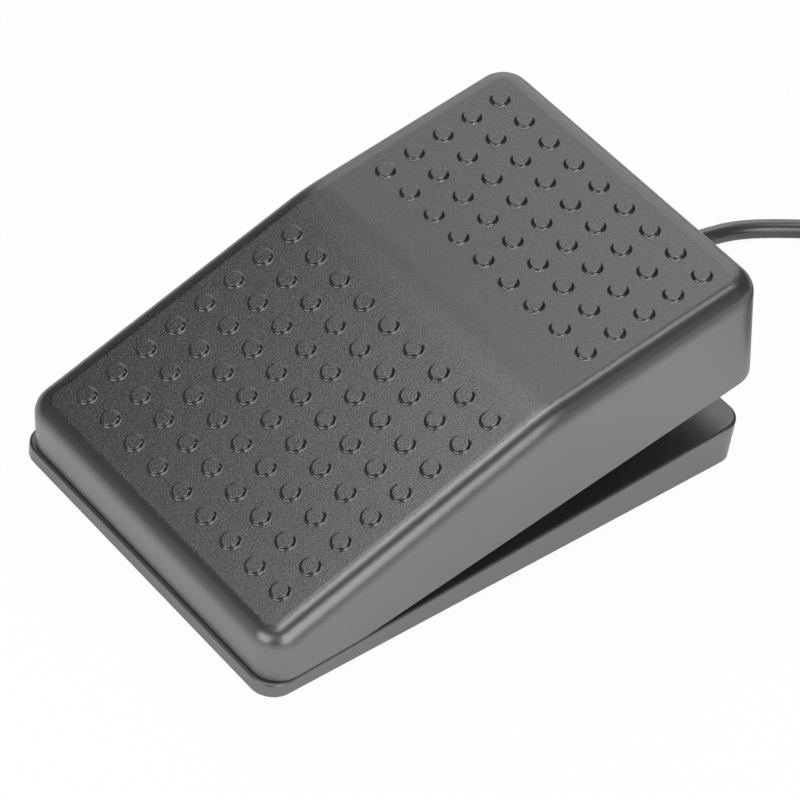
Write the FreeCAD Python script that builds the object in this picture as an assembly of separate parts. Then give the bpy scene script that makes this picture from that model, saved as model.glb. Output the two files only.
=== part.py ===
import FreeCAD, Part
import math
import os

# A small foot pedal for a sewing machine: a studded cover that rocks on a flat wedge-shaped base,
# a lever switch inside, a return spring, and a round cord that ends in a jack plug.
# All sizes are in millimetres. X is the width, +Y the high rear end, Z is up from the floor.
# The origin is on the floor, in the middle of the pedal's length and width, its cord left out.

V = FreeCAD.Vector
X_AXIS = V(1, 0, 0)
Y_AXIS = V(0, 1, 0)
Z_AXIS = V(0, 0, 1)

# Base
BASE_LENGTH = 103.4
BASE_WIDTH = 68.3
BASE_FRONT_HEIGHT = 2.65
BASE_REAR_HEIGHT = 8.7
BASE_FRONT_CORNER = 4.3
BASE_REAR_CORNER = 3.8
BASE_EDGE_ROUND = 0.5
BASE_WALL = 3.2
DECK_THICKNESS = 2.0
BASE_CAVITY_FRONT = -14.75

# Bottom plate, its screws and the feet
PLATE_THICKNESS = 1.5
PLATE_INSET = 1.6
PLATE_CLEARANCE = 0.15
PLATE_SCREW_FROM_SIDE = 13.15
PLATE_SCREW_FROM_FRONT = 15.7
PLATE_SCREW_FROM_REAR = 24.7
PLATE_SCREW_RADIUS = 1.3
PLATE_SCREW_LENGTH = 6.5
PLATE_SCREW_HEAD_RADIUS = 2.4
PLATE_BOSS_RADIUS = 3.2
PLATE_BOSS_HEIGHT = 3.6
FOOT_RADIUS = 4.5
FOOT_STAND = 0.8
FOOT_RECESS = 0.7
FOOT_FROM_SIDE = 8.15
FOOT_FROM_END = 8.7

# Pedal cover, measured in its own frame, whose Y runs along its straight lower edge
REST_TILT = 10.68
EDGE_BREAK_SETBACK = 19.7
RIM_GAP = 0.12
COVER_FRONT_LEDGE = 0.75
COVER_SIDE_LEDGE = 0.15
COVER_REAR_OVERHANG = 1.5
COVER_SIDE_DRAFT = 1.0
COVER_FRONT_DRAFT = 4.0
COVER_FRONT_CORNER = 5.1
COVER_REAR_CORNER = 5.5
COVER_EDGE_ROUND = 3.8
COVER_WALL = 2.0
COVER_TOP_THICKNESS = 2.2
KINK_Y = 40.75
KINK_HEIGHT = 23.0
FRONT_SLOPE = 10.66
KINK_RADIUS = 36.0
COVER_INNER_CORNER = 0.8

# Studs on the cover
STUD_RADIUS = 1.92
STUD_TOP_RADIUS = 1.5
STUD_HEIGHT = 0.6
STUD_ROUND = 0.2
STUD_FOOT_ROUND = 0.38
STUD_SINK = 0.5
STUD_PITCH_ACROSS = 6.5
STUD_PITCH_ALONG = 6.32
STUDS_FROM_SIDE = 6.0
FIRST_FRONT_ROW = 8.08
FIRST_REAR_ROW = 12.8
LAST_FRONT_ROW = 6.0
LAST_REAR_ROW = 5.0

# Hinge
HINGE_HEIGHT = 4.7
HINGE_BEHIND_BREAK = 4.35
ROD_RADIUS = 1.5
ROD_FROM_SIDE = 3.2
EAR_FROM_ROD_END = 7.4
EAR_THICKNESS = 3.4
EAR_RADIUS = 3.4
LUG_GAP = 0.5
LUG_RADIUS = 3.2
LUG_CLEARANCE = 0.15
LUG_MOUTH = 2.6

# Return spring and its seats
SPRING_Y = 23.25
SPRING_RADIUS = 4.6
SPRING_WIRE = 1.0
SPRING_LENGTH = 19.0
SPRING_TURNS = 7
SPRING_END_PITCH = 1.45
SPRING_SEAT_HEIGHT = 1.2
SEAT_RADIUS = 6.6
SPIGOT_HEIGHT = 2.5
SPIGOT_CLEARANCE = 0.4
SEAT_GAP = 0.1

# Stop pads on the deck, and the ribs of the cover that land on them
PAD_FROM_SIDE = 17.15
PAD_FROM_REAR = 13.7
PAD_RADIUS = 4.0
PAD_THICKNESS = 1.6
PAD_RECESS = 0.8
PAD_GAP_PRESSED = 0.5
STOP_RIB_WIDTH = 2.0
STOP_RIB_LENGTH = 5.0
PRESS_ANGLE = 7.0

# Switch
SWITCH_Y = -3.75
SWITCH_LENGTH = 19.8
SWITCH_WIDTH = 6.4
SWITCH_HEIGHT = 9.4
SWITCH_COVER_THICKNESS = 1.2
SWITCH_SEAT_HEIGHT = 3.0
SWITCH_SEAT_WALL = 1.6
SWITCH_HOLE_PITCH = 9.5
SWITCH_HOLE_HEIGHT = 2.6
SWITCH_HOLE_RADIUS = 1.2
SWITCH_SCREW_RADIUS = 1.0
SWITCH_SCREW_HEAD_RADIUS = 1.9
SWITCH_SCREW_HEAD_HEIGHT = 1.2
SWITCH_SCREW_BITE = 2.4
SWITCH_WALL = 1.4
SWITCH_FLOOR = 1.0
SWITCH_BOSS_WALL = 1.0
BRACKET_THICKNESS = 3.0
BRACKET_HEIGHT = 6.0
BRACKET_GAP = 0.1
TERMINAL_FROM_END = 3.3
TERMINAL_WIDTH = 2.4
TERMINAL_THICKNESS = 0.5
TERMINAL_LENGTH = 6.7
BUTTON_RADIUS = 1.1
BUTTON_STAND = 1.7
BUTTON_SET_IN = 2.4
BUTTON_FROM_PIVOT = 5.2
BUTTON_CLEARANCE = 0.2
BUTTON_TRAVEL = 0.9

# Switch lever, a strip bent up from its pivot
LEVER_PIVOT_FROM_END = 3.2
LEVER_PIVOT_STAND = 1.0
LEVER_THICKNESS = 0.4
LEVER_WIDTH = 3.6
LEVER_LENGTH = 14.6
LEVER_ANGLE = 15.0
LEVER_POST_FROM_PIVOT = 12.0
LEVER_TAB_RADIUS = 0.8
LEVER_TAB_CLEARANCE = 0.15
LEVER_EAR_RADIUS = 1.6
POST_RADIUS = 1.8
POST_GAP = 0.3

# Cord, strain relief, clamp and wires inside the base
CORD_RADIUS = 1.75
CORD_X = -8.0
CORD_HEIGHT = 4.85
RELIEF_LENGTH = 16.0
RELIEF_ROOT_RADIUS = 3.1
RELIEF_TIP_RADIUS = 2.35
RELIEF_NECK_RADIUS = 2.3
RELIEF_FLANGE_WIDTH = 8.0
RELIEF_FLANGE_HEIGHT = 4.6
RELIEF_FLANGE_THICKNESS = 1.5
RELIEF_RINGS = 5
RELIEF_RING_WIDTH = 1.0
RELIEF_RING_DEPTH = 0.35
CORD_INNER_LENGTH = 11.0
CLAMP_FROM_REAR = 9.7
CLAMP_WIDTH = 4.4
CLAMP_THICKNESS = 0.7
CLAMP_EAR_HEIGHT = 5.8
CLAMP_SCREW_PITCH = 9.2
CLAMP_SCREW_RADIUS = 0.9
CLAMP_SCREW_HEAD_RADIUS = 1.7
CLAMP_SCREW_HEAD_HEIGHT = 0.9
CLAMP_SCREW_BITE = 2.6
CLAMP_BOSS_RADIUS = 2.1
WIRE_RADIUS = 0.6
WIRE_SPREAD = 0.8
WIRE_HEIGHT = 3.25
WIRE_STRAIGHT = 3.0
WIRE_BEND = 9.5
WIRE_BEND_HEIGHT = 4.0
SLEEVE_RADIUS = 0.9
SLEEVE_LENGTH = 3.5

# Plug: a 3.5 mm mono jack
PLUG_PIN_RADIUS = 1.75
PLUG_BARREL_LENGTH = 9.0
PLUG_RING_LENGTH = 0.8
PLUG_TIP_LENGTH = 4.2
PLUG_TIP_NECK = 1.5
PLUG_TIP_NECK_RADIUS = 1.25
PLUG_TIP_SHOULDER = 2.5
PLUG_TIP_SHOULDER_RADIUS = 1.7
PLUG_TIP_END_RADIUS = 0.6
PLUG_COLLAR_RADIUS = 2.9
PLUG_COLLAR_LENGTH = 1.2
PLUG_BODY_RADIUS = 3.9
PLUG_BODY_LENGTH = 15.0
PLUG_SLEEVE_LENGTH = 9.0
PLUG_SLEEVE_RADIUS = 2.2
PLUG_SLEEVE_ROOT_RADIUS = 2.9
PLUG_SLEEVE_RINGS = 4
PLUG_SLEEVE_GROOVE = 0.3
PLUG_BODY_BEVEL = 0.6

# Crosshead recesses, as shares of the screw head's radius
CROSS_LENGTH = 0.6
CROSS_WIDTH = 0.15
CROSS_DEPTH = 0.35

# Coil of the put-away length
COIL_X = 45.0
COIL_Y = 104.45
COIL_OUTER = 25.0
COIL_PITCH = 4.0
COIL_LAYER = 3.95
COIL_LAYERS = 4
COIL_TURNS_A_LAYER = 2.75
COIL_START_ANGLE = 120.0
COIL_CLIMB = 0.25
TIE_ANGLE = -75.0
TIE_WIDTH = 6.0
TIE_THICKNESS = 0.6
TIE_GAP = 0.1
TIE_CORNER = 1.6

# Route of the cord from the strain relief to the coil, chosen by hand
LEAD_ROUTE = [
    (-8.0, 66.95, 4.85),
    (-8.0, 73.85, 4.85),
    (-8.9, 81.65, 2.6),
    (-7.9, 89.45, 1.85),
    (-3.4, 97.45, 1.8),
    (2.6, 105.65, 1.9),
    (10.6, 113.55, 2.1),
]
LEAD_IN = 9.0

# Route of the cord from the coil to the plug, chosen by hand
TAIL_ROUTE = [
    (52.9, 136.15, 13.0),
    (62.6, 134.45, 9.8),
    (70.9, 128.35, 6.0),
    (76.1, 119.15, 3.9),
    (77.0, 109.15, 3.9),
]
LEAD_OUT = 10.0

# How far a cutting shape runs past what it cuts
PAST = 4.0


def tan(degrees):
    return math.tan(math.radians(degrees))


def cos(degrees):
    return math.cos(math.radians(degrees))


def sin(degrees):
    return math.sin(math.radians(degrees))


# Places that follow from the sizes
FRONT_Y = -(BASE_LENGTH + COVER_REAR_OVERHANG) / 2
REAR_Y = FRONT_Y + BASE_LENGTH
DECK_ANGLE = math.degrees(math.atan((BASE_REAR_HEIGHT - BASE_FRONT_HEIGHT) / BASE_LENGTH))
FOLD = REST_TILT - DECK_ANGLE
COVER_FRONT = (EDGE_BREAK_SETBACK - COVER_FRONT_LEDGE) * cos(FOLD) / cos(DECK_ANGLE)
COVER_REAR = (BASE_LENGTH - EDGE_BREAK_SETBACK + COVER_REAR_OVERHANG) / cos(REST_TILT)
COVER_LOW_WIDTH = BASE_WIDTH - 2 * COVER_SIDE_LEDGE
LOW_FRONT = COVER_FRONT * tan(FOLD)
HIGH_FRONT = KINK_HEIGHT - (KINK_Y + COVER_FRONT) * tan(FRONT_SLOPE)
FRONT_LEAN = (HIGH_FRONT - LOW_FRONT) * tan(COVER_FRONT_DRAFT)
FRONT_SLOPE_LENGTH = (KINK_Y + COVER_FRONT - FRONT_LEAN) / cos(FRONT_SLOPE)
ROD_LENGTH = COVER_LOW_WIDTH - 2 * ROD_FROM_SIDE
EAR_X = ROD_LENGTH / 2 - EAR_FROM_ROD_END
TERMINAL_PITCH = SWITCH_LENGTH / 2 - TERMINAL_FROM_END
PAD_X = BASE_WIDTH / 2 - PAD_FROM_SIDE
PAD_Y = REAR_Y - PAD_FROM_REAR
CLAMP_Y = REAR_Y - CLAMP_FROM_REAR


def deck(y):
    """Height of the deck's upper face above the floor at a place along the base."""
    return FOOT_STAND + BASE_FRONT_HEIGHT + (y - FRONT_Y) * tan(DECK_ANGLE)


BREAK = V(0, FRONT_Y + EDGE_BREAK_SETBACK, deck(FRONT_Y + EDGE_BREAK_SETBACK) + RIM_GAP)
HINGE_IN_COVER = V(0, HINGE_BEHIND_BREAK, HINGE_HEIGHT)
PLATE_TOP = FOOT_STAND + PLATE_THICKNESS


def to_rest(shape):
    """Turn and move a shape from the cover's own frame to its place at rest."""
    placed = shape.copy()
    placed.rotate(V(0, 0, 0), X_AXIS, REST_TILT)
    placed.translate(BREAK)
    return placed


def rest_point(p):
    """The place at rest of a point of the cover's own frame."""
    y = p.y * cos(REST_TILT) - p.z * sin(REST_TILT)
    z = p.y * sin(REST_TILT) + p.z * cos(REST_TILT)
    return V(p.x, y, z).add(BREAK)


def cover_point(p):
    """The place in the cover's own frame of a point at rest."""
    d = p.sub(BREAK)
    y = d.y * cos(REST_TILT) + d.z * sin(REST_TILT)
    z = d.z * cos(REST_TILT) - d.y * sin(REST_TILT)
    return V(p.x, y, z)


HINGE = rest_point(HINGE_IN_COVER)


def box(x0, y0, z0, x1, y1, z1):
    return Part.makeBox(x1 - x0, y1 - y0, z1 - z0, V(x0, y0, z0))


def rod(radius, length, start, direction):
    return Part.makeCylinder(radius, length, start, direction)


def rounded_outline(half_width, y0, y1, front_corner, rear_corner, z):
    """A closed wire round a rectangle whose front and rear corners are rounded."""
    points = [
        (half_width, y1, rear_corner, 0),
        (-half_width, y1, rear_corner, 90),
        (-half_width, y0, front_corner, 180),
        (half_width, y0, front_corner, 270),
    ]
    arcs = []
    for x, y, radius, start in points:
        centre = V(x - math.copysign(radius, x), y - radius if y == y1 else y + radius, z)
        ends = [centre.add(V(radius * cos(start + a), radius * sin(start + a), 0)) for a in (0, 45, 90)]
        arcs.append(Part.Arc(*ends).toShape())
    edges = []
    for k, arc in enumerate(arcs):
        following = arcs[(k + 1) % len(arcs)]
        edges.append(arc)
        edges.append(Part.makeLine(arc.Vertexes[-1].Point, following.Vertexes[0].Point))
    return Part.Wire(edges)


def plate_of(wire, height):
    return Part.Face(wire).extrude(V(0, 0, height))


def side_profile(points, half_width):
    """A prism across the width whose side view is the polygon of (y, z) points."""
    corners = [V(-half_width, y, z) for y, z in points]
    return Part.Face(Part.makePolygon(corners + corners[:1])).extrude(V(2 * half_width, 0, 0))


def one(shape):
    """The single solid of a boolean's result, with its split faces joined."""
    clean = shape.removeSplitter()
    assert len(clean.Solids) == 1, len(clean.Solids)
    return clean.Solids[0]


def arc_between(start, tangent, end):
    """The arc that leaves a point along a tangent and ends at another point."""
    chord = end.sub(start)
    across = chord.sub(tangent * chord.dot(tangent))
    if across.Length < 1e-7:
        return Part.LineSegment(start, end).toShape(), tangent, 0.0
    radius = chord.dot(chord) / (2 * across.Length)
    centre = start.add(across.normalize() * radius)
    middle = start.add(end).multiply(0.5).sub(centre)
    arc = Part.Arc(start, centre.add(middle.normalize() * radius), end)
    return arc.toShape(), arc.tangent(arc.LastParameter)[0], radius


def biarc(start, start_tangent, end, end_tangent):
    """Two arcs that join two points and leave and reach them along the given tangents."""
    chord = end.sub(start)
    both = start_tangent.add(end_tangent)
    turned = 2 * (1 - start_tangent.dot(end_tangent))
    along = chord.dot(both)
    if turned < 1e-9:
        reach = chord.dot(chord) / (4 * chord.dot(end_tangent))
    else:
        reach = (math.sqrt(along * along + turned * chord.dot(chord)) - along) / turned
    joint = start.add(end).add(start_tangent.sub(end_tangent) * reach) * 0.5
    first, _, r1 = arc_between(start, start_tangent, joint)
    back, _, r2 = arc_between(end, end_tangent * -1, joint)
    second = Part.Arc(joint, back.valueAt((back.FirstParameter + back.LastParameter) / 2), end)
    return [first, second.toShape()], min(r1, r2)


def heading(point, turns, total):
    """The way a wound line runs after a number of turns."""
    near = 0.02
    return point(min(turns + near, total)).sub(point(max(turns - near, 0))).normalize()


def wound(point, total):
    """Biarcs of a quarter turn each along a wound line, and the tightest of their radii."""
    edges = []
    radii = []
    for k in range(int(round(4 * total))):
        a, b = k / 4, (k + 1) / 4
        pair, radius = biarc(point(a), heading(point, a, total), point(b), heading(point, b, total))
        edges += pair
        radii.append(radius)
    return edges, min(radii)


def rounded_route(points):
    """Straight runs joined by tangent arcs, each arc as large as its two runs allow."""
    corners = [V(*p) for p in points]
    edges = []
    radii = []
    last = corners[0]
    for before, at, after in zip(corners, corners[1:], corners[2:]):
        back = before.sub(at)
        on = after.sub(at)
        half_turn = (math.pi - back.getAngle(on)) / 2
        cut = 0.45 * min(back.Length, on.Length)
        radii.append(cut / math.tan(half_turn))
        start = at.add(back.normalize() * cut)
        end = at.add(on.normalize() * cut)
        inner = back.add(on).normalize()
        middle = at.add(inner * (radii[-1] * (1 / math.cos(half_turn) - 1)))
        edges.append(Part.LineSegment(last, start).toShape())
        edges.append(Part.Arc(start, middle, end).toShape())
        last = end
    edges.append(Part.LineSegment(last, corners[-1]).toShape())
    return Part.Wire(edges), radii


def tube(path, radius, name):
    """A round tube along a path, with its volume set against its section times its length."""
    start = path.Edges[0]
    tangent = start.tangentAt(start.FirstParameter)
    section = Part.Wire(Part.makeCircle(radius, start.valueAt(start.FirstParameter), tangent))
    solid = path.makePipeShell([section], True, False)
    expected = math.pi * radius * radius * path.Length
    print(name, "length %.1f volume/expected %.5f" % (path.Length, solid.Volume / expected), solid.isValid())
    return solid


def cover_top_points(lower):
    """Side view of the cover's top, front to rear, let down by an amount, in the cover's frame."""
    down = lower / cos(FRONT_SLOPE) + PAST * tan(FRONT_SLOPE)
    kink = (KINK_Y + lower * tan(FRONT_SLOPE / 2), KINK_HEIGHT - lower)
    front = (-COVER_FRONT - PAST, HIGH_FRONT - down)
    rear = (COVER_REAR + PAST, KINK_HEIGHT - lower)
    return front, kink, rear


def cover_side(lower, bottom_drop):
    """Side view of the cover as a prism: blended top, and the two straight lower edges."""
    front, kink, rear = cover_top_points(lower)
    half = BASE_WIDTH
    radius = KINK_RADIUS - lower
    cut = radius * tan(FRONT_SLOPE / 2)
    before = V(-half, kink[0] - cut * cos(FRONT_SLOPE), kink[1] - cut * sin(FRONT_SLOPE))
    after = V(-half, kink[0] + cut, kink[1])
    centre = after.sub(V(0, 0, radius))
    middle = centre.add(V(0, -radius * sin(FRONT_SLOPE / 2), radius * cos(FRONT_SLOPE / 2)))
    a = V(-half, front[0], -front[0] * tan(FOLD) - bottom_drop)
    b = V(-half, 0, -bottom_drop)
    c = V(-half, rear[0], -bottom_drop)
    d = V(-half, rear[0], rear[1])
    e = V(-half, front[0], front[1])
    edges = [
        Part.makeLine(a, b),
        Part.makeLine(b, c),
        Part.makeLine(c, d),
        Part.makeLine(d, after),
        Part.Arc(after, middle, before).toShape(),
        Part.makeLine(before, e),
        Part.makeLine(e, a),
    ]
    return Part.Face(Part.Wire(edges)).extrude(V(2 * half, 0, 0))


def cover_block(inset, low, high):
    """The cover's four drafted walls as a block, drawn in by an amount, between two heights."""
    outlines = []
    for z in (low, high):
        half = COVER_LOW_WIDTH / 2 - z * tan(COVER_SIDE_DRAFT) - inset
        front = -COVER_FRONT + (z - LOW_FRONT) * tan(COVER_FRONT_DRAFT) + inset
        rear = COVER_REAR - inset
        corners = [max(c - inset, COVER_INNER_CORNER) for c in (COVER_FRONT_CORNER, COVER_REAR_CORNER)]
        outlines.append(rounded_outline(half, front, rear, corners[0], corners[1], z))
    return Part.makeLoft(outlines, True, True)


def stud():
    """One low round stud on the plane z = 0, hollowed round its foot and rounded at its rim."""
    root = V(STUD_RADIUS, 0, 0)
    hollow = STUD_FOOT_ROUND * (1 - cos(45))
    root_mid = V(STUD_RADIUS - STUD_FOOT_ROUND + hollow, 0, hollow)
    root_high = V(STUD_RADIUS - STUD_FOOT_ROUND, 0, STUD_FOOT_ROUND)
    rim_low = V(STUD_TOP_RADIUS, 0, STUD_HEIGHT - STUD_ROUND)
    rim_high = V(STUD_TOP_RADIUS - STUD_ROUND, 0, STUD_HEIGHT)
    bend = STUD_ROUND * (1 - cos(45))
    rim_mid = V(STUD_TOP_RADIUS - bend, 0, STUD_HEIGHT - bend)
    sunk = V(STUD_RADIUS, 0, -STUD_SINK)
    edges = [
        Part.makeLine(V(0, 0, sunk.z), sunk),
        Part.makeLine(sunk, root),
        Part.Arc(root, root_mid, root_high).toShape(),
        Part.makeLine(root_high, rim_low),
        Part.Arc(rim_low, rim_mid, rim_high).toShape(),
        Part.makeLine(rim_high, V(0, 0, STUD_HEIGHT)),
        Part.makeLine(V(0, 0, STUD_HEIGHT), V(0, 0, sunk.z)),
    ]
    return Part.Face(Part.Wire(edges)).revolve(V(0, 0, 0), Z_AXIS, 360)


def count_of(room, pitch):
    """How many studs fit in a length, measured from the middle of the first to the last."""
    return int(room / pitch) + 1


def studs():
    """Both zones of studs, square to the face that carries them."""
    front_top = V(0, -COVER_FRONT, HIGH_FRONT).add(V(0, 1, tan(FRONT_SLOPE)) * FRONT_LEAN)
    kink = V(0, KINK_Y, KINK_HEIGHT)
    columns = count_of(COVER_LOW_WIDTH - 2 * STUDS_FROM_SIDE, STUD_PITCH_ACROSS)
    front_room = FRONT_SLOPE_LENGTH - FIRST_FRONT_ROW - LAST_FRONT_ROW
    rear_room = COVER_REAR - KINK_Y - FIRST_REAR_ROW - LAST_REAR_ROW
    made = []
    for room, first, start, slope in (
        (front_room, FIRST_FRONT_ROW, front_top, FRONT_SLOPE),
        (rear_room, FIRST_REAR_ROW, kink, 0.0),
    ):
        for row in range(count_of(room, STUD_PITCH_ALONG)):
            along = first + row * STUD_PITCH_ALONG
            for column in range(columns):
                x = (column - (columns - 1) / 2) * STUD_PITCH_ACROSS
                one_stud = stud()
                one_stud.rotate(V(0, 0, 0), X_AXIS, slope)
                one_stud.translate(start.add(V(x, along * cos(slope), along * sin(slope))))
                made.append(one_stud)
    return made


def top_edges(solid):
    """Edges between the cover's top faces and its walls."""
    found = []
    for edge in solid.Edges:
        middle = edge.valueAt((edge.FirstParameter + edge.LastParameter) / 2)
        normals = []
        for face in solid.ancestorsOfType(edge, Part.Face):
            u, v = face.Surface.parameter(middle)
            normals.append(abs(face.normalAt(u, v).z))
        on_top = middle.z > LOW_FRONT + 2 * COVER_EDGE_ROUND
        flat, steep = max(normals), min(normals)
        if on_top and flat > cos(30) and steep < sin(30):
            found.append(edge)
    return found


def ceiling(y):
    """Height of the cover's inner ceiling in its own frame."""
    _, kink, _ = cover_top_points(COVER_TOP_THICKNESS)
    return kink[1] - max(kink[0] - y, 0) * tan(FRONT_SLOPE)


def hinge_lug(side):
    """A lug inside a side wall that snaps over the end of the hinge rod."""
    inner = (EAR_X + EAR_THICKNESS + LUG_GAP) * side
    wall = (COVER_LOW_WIDTH / 2 - COVER_WALL / 2) * side
    x0, x1 = min(inner, wall), max(inner, wall)
    c = HINGE_IN_COVER
    lug = rod(LUG_RADIUS, x1 - x0, V(x0, c.y, c.z), X_AXIS)
    roof = ceiling(c.y) + COVER_TOP_THICKNESS / 3
    return lug.fuse(box(x0, c.y - LUG_RADIUS, c.z, x1, c.y + LUG_RADIUS, roof))


def lug_bore(side):
    """Bore and downward mouth of a hinge lug."""
    bore = ROD_RADIUS + LUG_CLEARANCE
    reach = ROD_LENGTH / 2 + LUG_GAP / 2
    x0 = 0 if side > 0 else -reach
    c = HINGE_IN_COVER
    hole = rod(bore, reach, V(x0, c.y, c.z), X_AXIS)
    mouth = box(x0, c.y - LUG_MOUTH / 2, c.z - 2 * LUG_RADIUS, x0 + reach, c.y + LUG_MOUTH / 2, c.z)
    return hole.fuse(mouth)


def unpressed_point(p):
    """The place at rest of a point that lies at p when the pedal is pressed down."""
    d = p.sub(HINGE)
    y = d.y * cos(PRESS_ANGLE) - d.z * sin(PRESS_ANGLE)
    z = d.z * cos(PRESS_ANGLE) + d.y * sin(PRESS_ANGLE)
    return V(p.x, y, z).add(HINGE)


def pad_top():
    """Middle of a stop pad's upper face."""
    return V(PAD_X, PAD_Y, deck(PAD_Y) + PAD_THICKNESS - PAD_RECESS)


def stop_rib(side):
    """A rib under the cover that lands on a stop pad."""
    foot = cover_point(unpressed_point(pad_top().add(V(0, 0, PAD_GAP_PRESSED))))
    x = PAD_X * side
    roof = ceiling(foot.y) + COVER_TOP_THICKNESS / 3
    thin = STOP_RIB_WIDTH / 2
    long = STOP_RIB_LENGTH / 2
    flat = box(x - thin, foot.y - long, foot.z, x + thin, foot.y + long, roof)
    cross = box(x - long, foot.y - thin, foot.z, x + long, foot.y + thin, roof)
    return flat.fuse(cross)


def spring_low():
    """Middle of the spring's lower end, on its seat."""
    return V(0, SPRING_Y, deck(SPRING_Y) + SPRING_SEAT_HEIGHT)


def spring_seat_top():
    """The cover's boss and spigot over the spring, upright at rest."""
    low = spring_low().z + SPRING_LENGTH + 2 * SEAT_GAP
    roof = rest_point(V(0, cover_point(V(0, SPRING_Y, low)).y, ceiling(KINK_Y))).z
    boss = rod(SEAT_RADIUS, roof - low, V(0, SPRING_Y, low), Z_AXIS)
    spigot = rod(spigot_radius(), SPIGOT_HEIGHT, V(0, SPRING_Y, low - SPIGOT_HEIGHT), Z_AXIS)
    return boss.fuse(spigot)


def switch_bottom():
    """Height of the underside of the switch, on its seat."""
    return deck(SWITCH_Y) + SWITCH_SEAT_HEIGHT


def lever_pivot():
    """The pivot of the switch lever, over the rear end of the switch."""
    y = SWITCH_Y + SWITCH_LENGTH / 2 - LEVER_PIVOT_FROM_END
    return V(0, y, switch_bottom() + SWITCH_HEIGHT + LEVER_PIVOT_STAND)


def post_foot():
    """The middle of the lower end of the post that pushes the lever, at rest."""
    pivot = lever_pivot()
    over = (LEVER_THICKNESS / 2 + POST_GAP) / cos(LEVER_ANGLE)
    out = POST_RADIUS * tan(LEVER_ANGLE)
    reach = LEVER_POST_FROM_PIVOT
    return V(0, pivot.y - reach, pivot.z + reach * tan(LEVER_ANGLE) + over + out)


def lever_post():
    """The post under the cover that pushes the switch lever."""
    foot = post_foot()
    roof = rest_point(V(0, cover_point(foot).y, ceiling(cover_point(foot).y) + COVER_TOP_THICKNESS / 2)).z
    return rod(POST_RADIUS, roof - foot.z, foot, Z_AXIS)


def pedal_cover():
    high = KINK_HEIGHT + PAST
    outer = cover_block(0, 0, high).common(cover_side(0, 0))
    outer = one(outer)
    outer = outer.makeFillet(COVER_EDGE_ROUND, top_edges(outer))
    inner = cover_block(COVER_WALL, -PAST, high).common(cover_side(COVER_TOP_THICKNESS, PAST))
    shell = outer.cut(inner)
    lugs = [hinge_lug(side).common(outer) for side in (-1, 1)]
    ribs = [stop_rib(side) for side in (-1, 1)]
    shell = shell.fuse(lugs + ribs)
    shell = shell.cut([lug_bore(side) for side in (-1, 1)])
    shell = shell.fuse(studs())
    rested = to_rest(shell)
    outer_rested = to_rest(outer)
    bosses = [spring_seat_top().common(outer_rested), lever_post().common(outer_rested)]
    return one(rested.fuse(bosses))


def plate_outline(inset):
    return rounded_outline(
        BASE_WIDTH / 2 - inset,
        FRONT_Y + inset,
        REAR_Y - inset,
        BASE_FRONT_CORNER - inset,
        BASE_REAR_CORNER - inset,
        FOOT_STAND,
    )


def hinge_ear(side):
    """A lug on the deck that carries the hinge rod."""
    x = EAR_X * side if side > 0 else EAR_X * side - EAR_THICKNESS
    top = rod(EAR_RADIUS, EAR_THICKNESS, V(x, HINGE.y, HINGE.z), X_AXIS)
    low = deck(HINGE.y) - DECK_THICKNESS / 2
    web = box(x, HINGE.y - EAR_RADIUS, low, x + EAR_THICKNESS, HINGE.y + EAR_RADIUS, HINGE.z)
    return top.fuse(web)


def switch_seat():
    """A raised frame on the deck under the switch, and the upright beside it."""
    half_x = SWITCH_WIDTH / 2
    y0 = SWITCH_Y - SWITCH_LENGTH / 2
    y1 = SWITCH_Y + SWITCH_LENGTH / 2
    low = deck(y0) - DECK_THICKNESS / 2
    inner = half_x + BRACKET_GAP
    outer = inner + BRACKET_THICKNESS
    frame = box(-half_x, y0, low, outer, y1, switch_bottom())
    upright = box(inner, y0, low, outer, y1, switch_bottom() + BRACKET_HEIGHT)
    return frame.fuse(upright)


def seat_opening():
    """The shaft through the switch seat and the deck, for the terminals."""
    half_x = SWITCH_WIDTH / 2 - SWITCH_SEAT_WALL
    half_y = SWITCH_LENGTH / 2 - SWITCH_SEAT_WALL
    return box(-half_x, SWITCH_Y - half_y, PLATE_TOP, half_x, SWITCH_Y + half_y, switch_bottom() + PAST)


def plate_screw_places():
    out = BASE_WIDTH / 2 - PLATE_SCREW_FROM_SIDE
    front = FRONT_Y + PLATE_SCREW_FROM_FRONT
    rear = REAR_Y - PLATE_SCREW_FROM_REAR
    return [(x, y) for x in (-out, out) for y in (front, rear)]


def plate_boss(x, y):
    return rod(PLATE_BOSS_RADIUS, deck(y) + PLATE_BOSS_HEIGHT - PLATE_TOP, V(x, y, PLATE_TOP), Z_AXIS)


def clamp_screw_places():
    return [(CORD_X + side * CLAMP_SCREW_PITCH / 2, CLAMP_Y) for side in (-1, 1)]


def base_cavity():
    """The space between the bottom plate and the deck."""
    half = BASE_WIDTH / 2 - BASE_WALL
    y0 = BASE_CAVITY_FRONT
    y1 = REAR_Y - BASE_WALL
    points = [
        (y0, FOOT_STAND),
        (y1, FOOT_STAND),
        (y1, deck(y1) - DECK_THICKNESS),
        (y0, deck(y0) - DECK_THICKNESS),
    ]
    return side_profile(points, half)


def below_deck():
    """The space between the deck's upper face and the underside of the base."""
    y0 = FRONT_Y - PAST
    y1 = REAR_Y + PAST
    return side_profile([(y0, FOOT_STAND), (y1, FOOT_STAND), (y1, deck(y1)), (y0, deck(y0))], BASE_WIDTH)


def spigot_radius():
    """Radius of the pegs that stand inside the spring's ends."""
    return SPRING_RADIUS - SPRING_WIRE / 2 - SPIGOT_CLEARANCE


def spring_seat_low():
    """The round seat on the deck under the spring, with its peg."""
    foot = V(0, SPRING_Y, deck(SPRING_Y) - DECK_THICKNESS / 2)
    tall = DECK_THICKNESS / 2 + SPRING_SEAT_HEIGHT
    peg = rod(spigot_radius(), tall + SPIGOT_HEIGHT, foot, Z_AXIS)
    return rod(SEAT_RADIUS, tall, foot, Z_AXIS).fuse(peg)


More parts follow.
